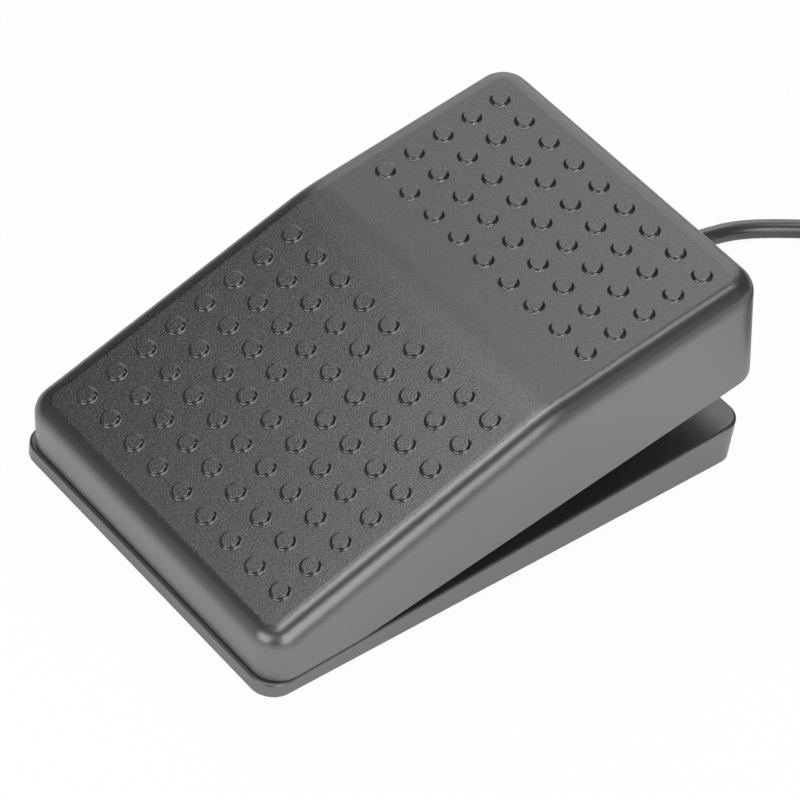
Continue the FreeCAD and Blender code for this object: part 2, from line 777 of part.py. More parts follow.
def base_housing():
    block = plate_of(plate_outline(0), 2 * BASE_REAR_HEIGHT)
    body = one(block.common(below_deck()))
    top = max(body.Faces, key=lambda face: face.Area * face.normalAt(0, 0).z)
    body = body.makeFillet(BASE_EDGE_ROUND, top.Edges)
    body = body.cut([plate_of(plate_outline(PLATE_INSET), PLATE_THICKNESS), base_cavity()])
    adds = [hinge_ear(side) for side in (-1, 1)]
    adds += [switch_seat()]
    adds += [spring_seat_low()]
    adds += [clamp_boss(x, y) for x, y in clamp_screw_places()]
    adds += [plate_boss(x, y) for x, y in plate_screw_places()]
    cuts = [seat_opening()]
    cuts += [hinge_rod()]
    cuts += [plate_screw_shank(x, y) for x, y in plate_screw_places()]
    cuts += [stop_pad(side) for side in (-1, 1)]
    cuts += [switch_screw_shank(k) for k in (-1, 1)]
    cuts += [clamp_screw_shank(x, y) for x, y in clamp_screw_places()]
    cuts += [rod(RELIEF_NECK_RADIUS, BASE_WALL, relief_start().sub(Y_AXIS * BASE_WALL), Y_AXIS)]
    return one(body.fuse(adds).cut(cuts))


def plate_screw_head(x, y):
    return Part.makeCone(PLATE_SCREW_HEAD_RADIUS, PLATE_SCREW_RADIUS, PLATE_THICKNESS, V(x, y, FOOT_STAND))


def plate_screw_shank(x, y):
    return rod(PLATE_SCREW_RADIUS, PLATE_SCREW_LENGTH - PLATE_THICKNESS, V(x, y, PLATE_TOP), Z_AXIS)


def bottom_plate():
    plate = plate_of(plate_outline(PLATE_INSET + PLATE_CLEARANCE), PLATE_THICKNESS)
    cuts = [plate_screw_head(x, y) for x, y in plate_screw_places()]
    cuts += [rod(FOOT_RADIUS, FOOT_RECESS, V(x, y, FOOT_STAND), Z_AXIS) for x, y in foot_places()]
    return one(plate.cut(cuts))


def foot_places():
    out = BASE_WIDTH / 2 - FOOT_FROM_SIDE
    ends = (FRONT_Y + FOOT_FROM_END, REAR_Y - FOOT_FROM_END)
    return [(x, y) for x in (-out, out) for y in ends]


def rubber_feet():
    feet = []
    for x, y in foot_places():
        foot = rod(FOOT_RADIUS, FOOT_STAND + FOOT_RECESS, V(x, y, 0), Z_AXIS)
        rim = [e for e in foot.Edges if len(e.Vertexes) == 1 and e.BoundBox.ZMax < FOOT_RECESS / 2]
        feet.append(foot.makeFillet(FOOT_RECESS / 2, rim))
    return Part.makeCompound(feet)


def bottom_screws():
    screws = []
    for x, y in plate_screw_places():
        screw = plate_screw_head(x, y).fuse(plate_screw_shank(x, y))
        screws.append(one(cross_slot(screw, V(x, y, FOOT_STAND), PLATE_SCREW_HEAD_RADIUS)))
    return Part.makeCompound(screws)


def cross_slot(screw, at, head_radius):
    """Cut a crosshead recess into the lower face of an upright screw's head."""
    long = head_radius * CROSS_LENGTH
    thin = head_radius * CROSS_WIDTH
    deep = head_radius * CROSS_DEPTH
    along = box(at.x - long, at.y - thin, at.z - PAST, at.x + long, at.y + thin, at.z + deep)
    across = box(at.x - thin, at.y - long, at.z - PAST, at.x + thin, at.y + long, at.z + deep)
    return screw.cut([along, across])


def hinge_rod():
    return rod(ROD_RADIUS, ROD_LENGTH, V(-ROD_LENGTH / 2, HINGE.y, HINGE.z), X_AXIS)


def stop_pad(side):
    return rod(PAD_RADIUS, PAD_THICKNESS, V(side * PAD_X, PAD_Y, deck(PAD_Y) - PAD_RECESS), Z_AXIS)


def stop_pads():
    return Part.makeCompound([stop_pad(side) for side in (-1, 1)])


def spring_point(turns):
    """Middle of the spring's wire after a number of turns; the end turns lie nearly closed."""
    middle_pitch = (SPRING_LENGTH - SPRING_WIRE - 2 * SPRING_END_PITCH) / (SPRING_TURNS - 2)
    past_low = min(max(turns - 1, 0), SPRING_TURNS - 2)
    rise = (turns - past_low) * SPRING_END_PITCH + past_low * middle_pitch
    out = V(SPRING_RADIUS * cos(360 * turns), SPRING_RADIUS * sin(360 * turns), rise)
    return spring_low().add(out).add(V(0, 0, SPRING_WIRE / 2 + SEAT_GAP))


def return_spring():
    edges, _ = wound(spring_point, SPRING_TURNS)
    print("spring gap to itself %.2f" % (SPRING_END_PITCH - SPRING_WIRE))
    return tube(Part.Wire(edges), SPRING_WIRE / 2, "return_spring")


def switch_hole(k):
    """Where a fixing hole goes through the switch, as (y, z)."""
    return SWITCH_Y + k * SWITCH_HOLE_PITCH / 2, switch_bottom() + SWITCH_HOLE_HEIGHT


def switch_screw_shank(k):
    """The shank of a switch screw, through the switch and into the upright."""
    y, z = switch_hole(k)
    length = SWITCH_WIDTH + BRACKET_GAP + SWITCH_SCREW_BITE
    return rod(SWITCH_SCREW_RADIUS, length, V(-SWITCH_WIDTH / 2, y, z), X_AXIS)


def switch_screws():
    screws = []
    for k in (-1, 1):
        y, z = switch_hole(k)
        start = V(-SWITCH_WIDTH / 2 - SWITCH_SCREW_HEAD_HEIGHT, y, z)
        head = rod(SWITCH_SCREW_HEAD_RADIUS, SWITCH_SCREW_HEAD_HEIGHT, start, X_AXIS)
        rim = [e for e in head.Edges if len(e.Vertexes) == 1 and e.CenterOfMass.x < -SWITCH_WIDTH / 2]
        head = head.makeFillet(SWITCH_SCREW_HEAD_HEIGHT / 2, rim)
        screws.append(one(head.fuse(switch_screw_shank(k))))
    return Part.makeCompound(screws)


def button_place():
    """The middle of the switch button, between the lever's pivot and the post."""
    pivot = lever_pivot()
    return V(0, pivot.y - BUTTON_FROM_PIVOT, switch_bottom() + SWITCH_HEIGHT)


def lever_tab_bore():
    start = lever_pivot().sub(X_AXIS * SWITCH_WIDTH / 2)
    return rod(LEVER_TAB_RADIUS + LEVER_TAB_CLEARANCE, SWITCH_WIDTH, start, X_AXIS)


def switch_block(x0, x1):
    """A slice of the switch's outer shape between two places across its width."""
    y0 = SWITCH_Y - SWITCH_LENGTH / 2
    y1 = SWITCH_Y + SWITCH_LENGTH / 2
    z0 = switch_bottom()
    return box(x0, y0, z0, x1, y1, z0 + SWITCH_HEIGHT)


def switch_ear(x0, x1):
    """One of the two ears on the switch that carry the lever's tabs."""
    pivot = lever_pivot()
    top = rod(LEVER_EAR_RADIUS, x1 - x0, V(x0, pivot.y, pivot.z), X_AXIS)
    low = pivot.z - LEVER_PIVOT_STAND - SWITCH_WALL / 2
    web = box(x0, pivot.y - LEVER_EAR_RADIUS, low, x1, pivot.y + LEVER_EAR_RADIUS, pivot.z)
    return top.fuse(web)


def ear_gap():
    """Clear width between the two ears, for the lever."""
    return LEVER_WIDTH / 2 + LEVER_TAB_CLEARANCE


def switch_case():
    half = SWITCH_WIDTH / 2
    split = half - SWITCH_COVER_THICKNESS
    block = switch_block(-split, half)
    y0 = SWITCH_Y - SWITCH_LENGTH / 2 + SWITCH_WALL
    y1 = SWITCH_Y + SWITCH_LENGTH / 2 - SWITCH_WALL
    z0 = switch_bottom() + SWITCH_FLOOR
    z1 = switch_bottom() + SWITCH_HEIGHT - SWITCH_WALL
    hollow = box(-half, y0, z0, half - SWITCH_WALL, y1, z1)
    bosses = []
    for k in (-1, 1):
        y, z = switch_hole(k)
        boss = rod(SWITCH_HOLE_RADIUS + SWITCH_BOSS_WALL, half + split, V(-split, y, z), X_AXIS)
        bosses.append(boss.common(block))
    case = block.fuse(switch_ear(ear_gap(), half)).cut(hollow).fuse(bosses)
    return one(case.cut(switch_openings()))


def switch_openings():
    """Fixing holes, button bore and terminal slots of the switch, at its own clearances."""
    cuts = []
    for k in (-1, 1):
        y, z = switch_hole(k)
        cuts.append(rod(SWITCH_HOLE_RADIUS, SWITCH_WIDTH * 2, V(-SWITCH_WIDTH, y, z), X_AXIS))
    deep = BUTTON_SET_IN + BUTTON_TRAVEL + BUTTON_CLEARANCE
    cuts.append(rod(BUTTON_RADIUS + BUTTON_CLEARANCE, deep, button_place().sub(Z_AXIS * deep), Z_AXIS))
    cuts.append(lever_tab_bore())
    cuts += [terminal(k) for k in (-1, 0, 1)]
    return cuts


def switch_cover():
    half = SWITCH_WIDTH / 2
    split = half - SWITCH_COVER_THICKNESS
    lid = switch_block(-half, -split).fuse(switch_ear(-half, -max(split, ear_gap())))
    return one(lid.cut(switch_openings()))


def terminal(k):
    """One flat terminal tab, from inside the switch down through the deck."""
    y = SWITCH_Y + k * TERMINAL_PITCH
    z = switch_bottom()
    half_x = TERMINAL_THICKNESS / 2
    half_y = TERMINAL_WIDTH / 2
    return box(-half_x, y - half_y, z - TERMINAL_LENGTH, half_x, y + half_y, z + SWITCH_FLOOR)


def switch_terminals():
    return Part.makeCompound([terminal(k) for k in (-1, 0, 1)])


def switch_button():
    at = button_place()
    pin = rod(BUTTON_RADIUS, BUTTON_SET_IN + BUTTON_STAND, at.sub(Z_AXIS * BUTTON_SET_IN), Z_AXIS)
    rim = [e for e in pin.Edges if len(e.Vertexes) == 1 and e.BoundBox.ZMin > at.z]
    return pin.makeFillet(BUTTON_RADIUS / 2, rim)


def switch_lever():
    """A bent strip with two pivot tabs, raised towards its free end."""
    pivot = lever_pivot()
    half = LEVER_WIDTH / 2
    strip = box(-half, -LEVER_LENGTH, -LEVER_THICKNESS / 2, half, LEVER_TAB_RADIUS, LEVER_THICKNESS / 2)
    strip.rotate(V(0, 0, 0), X_AXIS, -LEVER_ANGLE)
    tabs = rod(LEVER_TAB_RADIUS, SWITCH_WIDTH, V(-SWITCH_WIDTH / 2, 0, 0), X_AXIS)
    lever = strip.fuse(tabs)
    lever.translate(pivot)
    return one(lever)


def relief_start():
    return V(CORD_X, REAR_Y, CORD_HEIGHT)


def strain_relief():
    """A moulded bush: flange inside the wall, neck through it, and a ringed taper outside."""
    start = relief_start()
    taper = Part.makeCone(RELIEF_ROOT_RADIUS, RELIEF_TIP_RADIUS, RELIEF_LENGTH, start, Y_AXIS)
    neck = rod(RELIEF_NECK_RADIUS, BASE_WALL, V(start.x, start.y - BASE_WALL, start.z), Y_AXIS)
    half = RELIEF_FLANGE_WIDTH / 2
    tall = RELIEF_FLANGE_HEIGHT / 2
    y1 = start.y - BASE_WALL
    y0 = y1 - RELIEF_FLANGE_THICKNESS
    flange = box(start.x - half, y0, start.z - tall, start.x + half, y1, start.z + tall)
    body = taper.fuse([neck, flange])
    step = RELIEF_LENGTH / (RELIEF_RINGS + 1)
    cuts = [rod(CORD_RADIUS, BASE_LENGTH, V(start.x, 0, start.z), Y_AXIS)]
    for k in range(RELIEF_RINGS):
        y = start.y + step * (k + 1) - RELIEF_RING_WIDTH / 2
        share = (y - start.y) / RELIEF_LENGTH
        bottom = RELIEF_ROOT_RADIUS + (RELIEF_TIP_RADIUS - RELIEF_ROOT_RADIUS) * share - RELIEF_RING_DEPTH
        at = V(start.x, y, start.z)
        ring = rod(RELIEF_ROOT_RADIUS * 2, RELIEF_RING_WIDTH, at, Y_AXIS)
        cuts.append(ring.cut(rod(bottom, RELIEF_RING_WIDTH, at, Y_AXIS)))
    return one(body.cut(cuts))


def cord_inner():
    """The cord's jacket from the end of the strain relief to its cut end inside the base."""
    start = relief_start()
    length = RELIEF_LENGTH + BASE_WALL + CORD_INNER_LENGTH
    return rod(CORD_RADIUS, length, V(start.x, start.y - BASE_WALL - CORD_INNER_LENGTH, start.z), Y_AXIS)


def clamp_boss(x, y):
    """A boss under the deck that one of the clamp's ears is drawn up against."""
    tall = deck(y) - DECK_THICKNESS / 2 - CLAMP_EAR_HEIGHT
    return rod(CLAMP_BOSS_RADIUS, tall, V(x, y, CLAMP_EAR_HEIGHT), Z_AXIS)


def clamp_screw_shank(x, y):
    low = CLAMP_EAR_HEIGHT - CLAMP_THICKNESS
    return rod(CLAMP_SCREW_RADIUS, CLAMP_THICKNESS + CLAMP_SCREW_BITE, V(x, y, low), Z_AXIS)


def cord_clamp():
    """A bent metal saddle under the cord, with an ear for a screw on each side."""
    low = CORD_HEIGHT - CORD_RADIUS
    half = CLAMP_SCREW_PITCH / 2 + CLAMP_BOSS_RADIUS
    inner = CORD_RADIUS
    outer = CORD_RADIUS + CLAMP_THICKNESS
    y0 = CLAMP_Y - CLAMP_WIDTH / 2
    y1 = CLAMP_Y + CLAMP_WIDTH / 2
    top = CLAMP_EAR_HEIGHT
    floor = box(CORD_X - outer, y0, low - CLAMP_THICKNESS, CORD_X + outer, y1, low)
    pieces = []
    for side in (-1, 1):
        xs = sorted((CORD_X + side * inner, CORD_X + side * outer))
        pieces.append(box(xs[0], y0, low - CLAMP_THICKNESS, xs[1], y1, top))
        xs = sorted((CORD_X + side * inner, CORD_X + side * half))
        pieces.append(box(xs[0], y0, top - CLAMP_THICKNESS, xs[1], y1, top))
    return one(floor.fuse(pieces).cut([clamp_screw_shank(x, y) for x, y in clamp_screw_places()]))


def clamp_screws():
    screws = []
    for x, y in clamp_screw_places():
        low = V(x, y, CLAMP_EAR_HEIGHT - CLAMP_THICKNESS - CLAMP_SCREW_HEAD_HEIGHT)
        head = rod(CLAMP_SCREW_HEAD_RADIUS, CLAMP_SCREW_HEAD_HEIGHT, low, Z_AXIS)
        screws.append(one(cross_slot(head.fuse(clamp_screw_shank(x, y)), low, CLAMP_SCREW_HEAD_RADIUS)))
    return Part.makeCompound(screws)


def wire_end(k):
    """Where a wire meets the side of a terminal."""
    return V(-TERMINAL_THICKNESS / 2, SWITCH_Y + k * TERMINAL_PITCH, WIRE_HEIGHT)


def wire(k, side, name):
    """One insulated wire from the cut end of the cord to a terminal."""
    x = CORD_X + side * WIRE_SPREAD
    end = wire_end(k)
    start_y = REAR_Y - BASE_WALL - CORD_INNER_LENGTH
    route = [
        (x, start_y, CORD_HEIGHT),
        (x, start_y - WIRE_STRAIGHT, CORD_HEIGHT),
        (x, start_y - WIRE_BEND, WIRE_BEND_HEIGHT),
        (x, end.y, end.z),
        tuple(end),
    ]
    path, _ = rounded_route(route)
    return tube(path, WIRE_RADIUS, name)


def terminal_sleeves():
    """Short insulating sleeves over the wires where they meet their terminals."""
    sleeves = []
    for k in (0, 1):
        end = wire_end(k)
        start = V(end.x - SLEEVE_LENGTH, end.y, end.z)
        bore = rod(WIRE_RADIUS, SLEEVE_LENGTH, start, X_AXIS)
        sleeves.append(rod(SLEEVE_RADIUS, SLEEVE_LENGTH, start, X_AXIS).cut(bore))
    return Part.makeCompound(sleeves)


def coil_point(turns):
    """Middle of the cord after a number of turns of the coil, seen from above clockwise."""
    layer = min(int(turns / COIL_TURNS_A_LAYER), COIL_LAYERS - 1)
    share = turns / COIL_TURNS_A_LAYER - layer
    drawn_in = share if layer % 2 == 0 else 1 - share
    radius = COIL_OUTER - COIL_PITCH * COIL_TURNS_A_LAYER * drawn_in
    level = 0.0
    for k in range(1, COIL_LAYERS):
        past = (turns - k * COIL_TURNS_A_LAYER + COIL_CLIMB) / (2 * COIL_CLIMB)
        level += (1 - math.cos(math.pi * min(max(past, 0.0), 1.0))) / 2
    angle = COIL_START_ANGLE - 360 * turns
    low = TIE_THICKNESS + TIE_GAP + CORD_RADIUS
    return V(COIL_X + radius * cos(angle), COIL_Y + radius * sin(angle), low + level * COIL_LAYER)


def coil_turns():
    return COIL_LAYERS * COIL_TURNS_A_LAYER


def coil_ends():
    """The coil's two free ends, one cord diameter beyond its turns, each with its tangent."""
    first = heading(coil_point, 0, coil_turns())
    last = heading(coil_point, coil_turns(), coil_turns())
    start = coil_point(0).sub(first * 2 * CORD_RADIUS)
    end = coil_point(coil_turns()).add(last * 2 * CORD_RADIUS)
    return start, first, end, last


def coil_gap():
    """Least clear space between stretches of the coil that are over half a turn apart."""
    steps = 96
    total = int(coil_turns() * steps)
    points = [coil_point(k / steps) for k in range(total + 1)]
    least = COIL_OUTER
    for k in range(total + 1):
        for other in range(k + steps // 2, total + 1):
            if abs(points[k].x - points[other].x) < 2 * COIL_PITCH:
                least = min(least, points[k].distanceToPoint(points[other]))
    return least - 2 * CORD_RADIUS


def cord_coil():
    start, _, end, _ = coil_ends()
    turns, tightest = wound(coil_point, coil_turns())
    edges = [Part.LineSegment(start, coil_point(0)).toShape()]
    edges += turns
    edges += [Part.LineSegment(coil_point(coil_turns()), end).toShape()]
    print("coil turns %.2f tightest %.2f gap to itself %.2f" % (coil_turns(), tightest, coil_gap()))
    return tube(Part.Wire(edges), CORD_RADIUS, "cord_coil")


def coil_tie():
    """A flat band round the bundle of turns, standing on the floor."""
    inner = COIL_OUTER - COIL_PITCH * COIL_TURNS_A_LAYER - CORD_RADIUS - TIE_GAP
    outer = COIL_OUTER + CORD_RADIUS + TIE_GAP
    tall = (COIL_LAYERS - 1) * COIL_LAYER + 2 * CORD_RADIUS + 2 * TIE_GAP + 2 * TIE_THICKNESS
    half = TIE_WIDTH / 2
    band = box(inner - TIE_THICKNESS, -half, 0, outer + TIE_THICKNESS, half, tall)
    hole = box(inner, -TIE_WIDTH, TIE_THICKNESS, outer, TIE_WIDTH, tall - TIE_THICKNESS)
    band = band.makeFillet(TIE_CORNER, [e for e in band.Edges if abs(e.tangentAt(0).y) > 0.9])
    inside = [e for e in hole.Edges if abs(e.tangentAt(0).y) > 0.9]
    hole = hole.makeFillet(TIE_CORNER - TIE_THICKNESS, inside)
    tie = band.cut(hole)
    tie.rotate(V(0, 0, 0), Z_AXIS, TIE_ANGLE)
    tie.translate(V(COIL_X, COIL_Y, 0))
    return tie


def print_radii(name, radii):
    print(name, "radii", ["%.1f" % r for r in radii])


def cord_lead():
    end, tangent, _, _ = coil_ends()
    points = [V(*p) for p in LEAD_ROUTE] + [end.sub(tangent * LEAD_IN), end]
    path, radii = rounded_route(points)
    print_radii("cord_lead", radii)
    return tube(path, CORD_RADIUS, "cord_lead")


def cord_tail():
    _, _, start, tangent = coil_ends()
    path, radii = rounded_route([start, start.add(tangent * LEAD_OUT)] + [V(*p) for p in TAIL_ROUTE])
    print_radii("cord_tail", radii)
    return tube(path, CORD_RADIUS, "cord_tail")


def plug_axis():
    """Where the cord enters the plug, and the way the plug points."""
    before, entry = V(*TAIL_ROUTE[-2]), V(*TAIL_ROUTE[-1])
    return entry, entry.sub(before).normalize()


def turned(profile):
    """A solid of revolution about the plug's axis from (distance, radius) points."""
    entry, way = plug_axis()
    points = [V(0, r, d) for d, r in profile]
    face = Part.Face(Part.makePolygon(points + points[:1]))
    solid = face.revolve(V(0, 0, 0), Z_AXIS, 360)
    solid.Placement = FreeCAD.Placement(entry, FreeCAD.Rotation(Z_AXIS, way))
    return solid


def plug_sleeve():
    """The ringed bend relief at the cord's end of the plug."""
    steps = 2 * PLUG_SLEEVE_RINGS
    step = PLUG_SLEEVE_LENGTH / (steps + 1)
    profile = [(0, 0)]
    for k in range(steps + 1):
        radius = PLUG_SLEEVE_RADIUS + (PLUG_SLEEVE_ROOT_RADIUS - PLUG_SLEEVE_RADIUS) * k / steps
        radius -= PLUG_SLEEVE_GROOVE * (k % 2)
        profile += [(k * step, radius), ((k + 1) * step, radius)]
    profile.append((PLUG_SLEEVE_LENGTH, 0))
    return turned(profile)


def plug_body():
    start = PLUG_SLEEVE_LENGTH
    end = start + PLUG_BODY_LENGTH
    bevel = PLUG_BODY_BEVEL
    return turned([
        (start, 0),
        (start, PLUG_BODY_RADIUS - bevel),
        (start + bevel, PLUG_BODY_RADIUS),
        (end - bevel, PLUG_BODY_RADIUS),
        (end, PLUG_BODY_RADIUS - bevel),
        (end, 0),
    ])


def plug_barrel():
    """The metal collar and outer contact of the plug, with the core of the pin inside."""
    start = PLUG_SLEEVE_LENGTH + PLUG_BODY_LENGTH
    mid = start + PLUG_COLLAR_LENGTH
    return turned([
        (start, 0),
        (start, PLUG_COLLAR_RADIUS),
        (mid, PLUG_COLLAR_RADIUS),
        (mid, PLUG_PIN_RADIUS),
        (mid + PLUG_BARREL_LENGTH, PLUG_PIN_RADIUS),
        (mid + PLUG_BARREL_LENGTH, 0),
    ])


def plug_pin_start():
    return PLUG_SLEEVE_LENGTH + PLUG_BODY_LENGTH + PLUG_COLLAR_LENGTH + PLUG_BARREL_LENGTH


def plug_ring():
    start = plug_pin_start()
    return turned([
        (start, 0),
        (start, PLUG_PIN_RADIUS),
        (start + PLUG_RING_LENGTH, PLUG_PIN_RADIUS),
        (start + PLUG_RING_LENGTH, 0),
    ])


def plug_tip():
    """The tip contact: a waisted neck and a blunt cone."""
    start = plug_pin_start() + PLUG_RING_LENGTH
    end = start + PLUG_TIP_LENGTH
    return turned([
        (start, 0),
        (start, PLUG_PIN_RADIUS),
        (start + PLUG_TIP_NECK, PLUG_TIP_NECK_RADIUS),
        (start + PLUG_TIP_SHOULDER, PLUG_TIP_SHOULDER_RADIUS),
        (end, PLUG_TIP_END_RADIUS),
        (end, 0),
    ])


def main():
    shapes = {
        "base_housing": base_housing(),
        "bottom_plate": bottom_plate(),
        "bottom_screws": bottom_screws(),
        "rubber_feet": rubber_feet(),
        "hinge_rod": hinge_rod(),
        "pedal_cover": pedal_cover(),
        "stop_pads": stop_pads(),
        "return_spring": return_spring(),
        "switch_case": switch_case(),
        "switch_cover": switch_cover(),
        "switch_terminals": switch_terminals(),
        "switch_screws": switch_screws(),
        "switch_button": switch_button(),
        "switch_lever": switch_lever(),
        "strain_relief": strain_relief(),
        "cord_inner": cord_inner(),
        "cord_clamp": cord_clamp(),
        "clamp_screws": clamp_screws(),
        "wire_common": wire(1, 1, "wire_common"),
        "wire_signal": wire(0, -1, "wire_signal"),
        "terminal_sleeves": terminal_sleeves(),
        "cord_lead": cord_lead(),
        "cord_coil": cord_coil(),
        "coil_tie": coil_tie(),
        "cord_tail": cord_tail(),
        "plug_sleeve": plug_sleeve(),
        "plug_body": plug_body(),
        "plug_barrel": plug_barrel(),
        "plug_ring": plug_ring(),
        "plug_tip": plug_tip(),
    }
    os.makedirs("parts", exist_ok=True)
    for name, shape in shapes.items():
        shape.exportStep("parts/%s.step" % name)
        print("%-18s %d solids, valid %s" % (name, len(shape.Solids), shape.isValid()))


main()
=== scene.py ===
"""The looks of a small studded foot pedal for a sewing machine.

The frame brings every rigid piece, and this script gives each its finish. It makes two surfaces of its own:
the cord, laid as one curve, and the return spring.
"""
import math
import bpy
import numpy as np
from bpy.props import FloatProperty, FloatVectorProperty, IntProperty, PointerProperty
from bpy.types import Operator, Panel, PropertyGroup
from mathutils import Matrix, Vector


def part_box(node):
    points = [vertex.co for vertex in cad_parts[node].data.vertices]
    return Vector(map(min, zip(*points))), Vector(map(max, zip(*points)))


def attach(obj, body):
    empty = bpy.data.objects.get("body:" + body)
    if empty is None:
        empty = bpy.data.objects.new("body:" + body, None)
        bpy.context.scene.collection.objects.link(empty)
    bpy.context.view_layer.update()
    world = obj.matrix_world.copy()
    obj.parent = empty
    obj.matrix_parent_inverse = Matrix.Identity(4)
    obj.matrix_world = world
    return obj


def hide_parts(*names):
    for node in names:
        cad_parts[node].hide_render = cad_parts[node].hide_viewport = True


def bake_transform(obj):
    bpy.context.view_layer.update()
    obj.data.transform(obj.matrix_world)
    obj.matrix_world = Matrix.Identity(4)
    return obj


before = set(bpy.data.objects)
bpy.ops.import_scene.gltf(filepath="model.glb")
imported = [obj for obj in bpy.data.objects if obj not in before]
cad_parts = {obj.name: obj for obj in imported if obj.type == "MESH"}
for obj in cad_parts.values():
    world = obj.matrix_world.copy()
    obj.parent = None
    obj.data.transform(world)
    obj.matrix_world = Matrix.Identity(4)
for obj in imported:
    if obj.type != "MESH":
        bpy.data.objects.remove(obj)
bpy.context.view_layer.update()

bl_info = {
    "name": "Studded Foot Pedal",
    "version": (1, 0, 0),
    "blender": (4, 5, 0),
    "location": "View3D > Sidebar > Pedal",
    "description": "Finishes, cord and return spring of a small studded foot pedal",
    "category": "Object",
}

# The cord's route from the strain relief to the coil, in metres
LEAD_ROUTE = [
    (-0.0080, 0.06695, 0.00485),
    (-0.0080, 0.07385, 0.00485),
    (-0.0089, 0.08165, 0.0026),
    (-0.0079, 0.08945, 0.00185),
    (-0.0034, 0.09745, 0.0018),
    (0.0026, 0.10565, 0.0019),
    (0.0106, 0.11355, 0.0021),
]
LEAD_IN = 0.009

# The cord's route from the coil to the plug, in metres
TAIL_ROUTE = [
    (0.0529, 0.13615, 0.0130),
    (0.0626, 0.13445, 0.0098),
    (0.0709, 0.12835, 0.0060),
    (0.0761, 0.11915, 0.0039),
    (0.0770, 0.10915, 0.0039),
]
LEAD_OUT = 0.010

# The coil of the put-away length, in metres and turns
COIL_CENTRE = (0.0450, 0.10445)
COIL_OUTER = 0.0250
COIL_PITCH = 0.0040
COIL_LAYER = 0.00395
COIL_LAYERS = 4
COIL_TURNS_A_LAYER = 2.75
COIL_START_ANGLE = 120.0
COIL_CLIMB = 0.25
COIL_LOW = 0.00245
COIL_POINTS_A_TURN = 24

# The return spring's closed ends: turns at each end, and their rise a turn in wire diameters
SPRING_END_TURNS = 1.0
SPRING_END_RISE = 1.45
SPRING_POINTS_A_TURN = 48
SPRING_WIRE_SIDES = 12

# The way that the pedal's top looks, midway between its two flat zones
TOP_WAY = (0.0, -0.276, 0.961)

# Where each mask goes from none to all: how far a face looks along TOP_WAY, up and to the rear, and then the outer
# limits of the studs in metres
FLAT_RISE = (0.972, 0.982)
# UP_RISE also sets where the walls' painted lighter colour takes over from the top's darker colour
UP_RISE = (0.05, 0.50)
REAR_RISE = (-0.30, -0.22)
# The studs' limits also bound the painted shade on the studs' sides
STUDS_SIDE = (0.0288, 0.0296)
STUDS_FRONT = (-0.0492, -0.0484)
STUDS_REAR = (0.0434, 0.0442)

# The moulded grain's sizes, and the size of the painted glint and shade specks on the grain, in metres
PEBBLE_SIZE = 0.00022
FINE_SIZE = 0.00018
GLINT_SPECK_SIZE = 0.00020
SKIN_SIZE = 0.0012
GRAIN_DEPTH = 0.00002

# The gloss of the moulded plastic and the cord's jacket, and the tone of the faint clouds in them
GLOSS = {"IOR": 1.6, "Specular_IOR_Level": 0.9}
CLOUD_TONE = (0.02, 0.02, 0.02)
CLOUD_RISE = (0.3, 0.7)

# The photograph's camera: its place, and the ways right, down and forward in the picture
CAMERA_PLACE = (0.327515, -0.337223, 0.472577)
CAMERA_RIGHT = (0.628727, 0.768632, 0.117931)
CAMERA_DOWN = (0.598067, -0.381028, -0.705077)
CAMERA_FORWARD = (-0.49701, 0.513832, -0.699256)
CAMERA_LENS_MM = 175.537
CAMERA_SENSOR_MM = 36.0

# Every soft lamp's distance from the point that it shines at, in metres
LAMP_REACH = 0.9
LAMP_MIDDLE = (0.0, 0.0, 0.02)

# The soft lamps: name, azimuth and elevation in degrees, width and height in metres
SOFT_BOXES = (
    ("overhead", 224, 79, 0.63, 0.41),
    ("key", 290, 68, 0.31, 0.23),
    ("left", 150, 65, 0.22, 0.59),
    ("strip", 54, 84, 0.10, 0.53),
    ("backdrop", 137, 29, 0.80, 0.85),
    ("right", 349, 23, 0.61, 0.70),
    ("front", 271, 17, 0.65, 0.50),
    ("fill", 307, 27, 0.50, 0.42),
    ("low", 40, 8, 0.60, 0.15),
)

# The floor: half its width in metres, its paint, and how far it looks plain white to the camera and in gloss
FLOOR_HALF = 3.0
FLOOR_PAINT = (0.82, 0.82, 0.82)
FLOOR_SEEN = 0.95
FLOOR_MIRRORED = 0.2


class CordSizes(PropertyGroup):
    diameter: FloatProperty(
        name="Diameter", description="Outside diameter of the cord", default=0.0035, unit="LENGTH")
    length: FloatProperty(
        name="Length", description="Length of the cord from the strain relief to the plug", default=1.488,
        unit="LENGTH")


class SpringSizes(PropertyGroup):
    radius: FloatProperty(
        name="Radius", description="Radius at the middle of the wire", default=0.0046, unit="LENGTH")
    wire: FloatProperty(name="Wire", description="Diameter of the wire", default=0.001, unit="LENGTH")
    turns: IntProperty(name="Turns", description="Turns of the spring", default=7)


class PedalColours(PropertyGroup):
    # The walls' colour is painted light, set lighter than the top's as the walls catch more light; the top's
    # colour is the painted shade beside it
    top: FloatVectorProperty(
        name="Top", description="Colour of the pedal's top and rounded edges", default=(0.026, 0.026, 0.027),
        subtype="COLOR", size=3)
    walls: FloatVectorProperty(
        name="Walls", description="Colour of the smooth upright walls", default=(0.104, 0.104, 0.107),
        subtype="COLOR", size=3)
    cord: FloatVectorProperty(
        name="Cord", description="Colour of the cord's jacket", default=(0.030, 0.030, 0.031),
        subtype="COLOR", size=3)
    rubber: FloatVectorProperty(
        name="Rubber", description="Colour of the feet and stop pads", default=(0.035, 0.035, 0.035),
        subtype="COLOR", size=3)
    steel: FloatVectorProperty(
        name="Steel", description="Colour of the plain steel pieces", default=(0.56, 0.56, 0.57),
        subtype="COLOR", size=3)


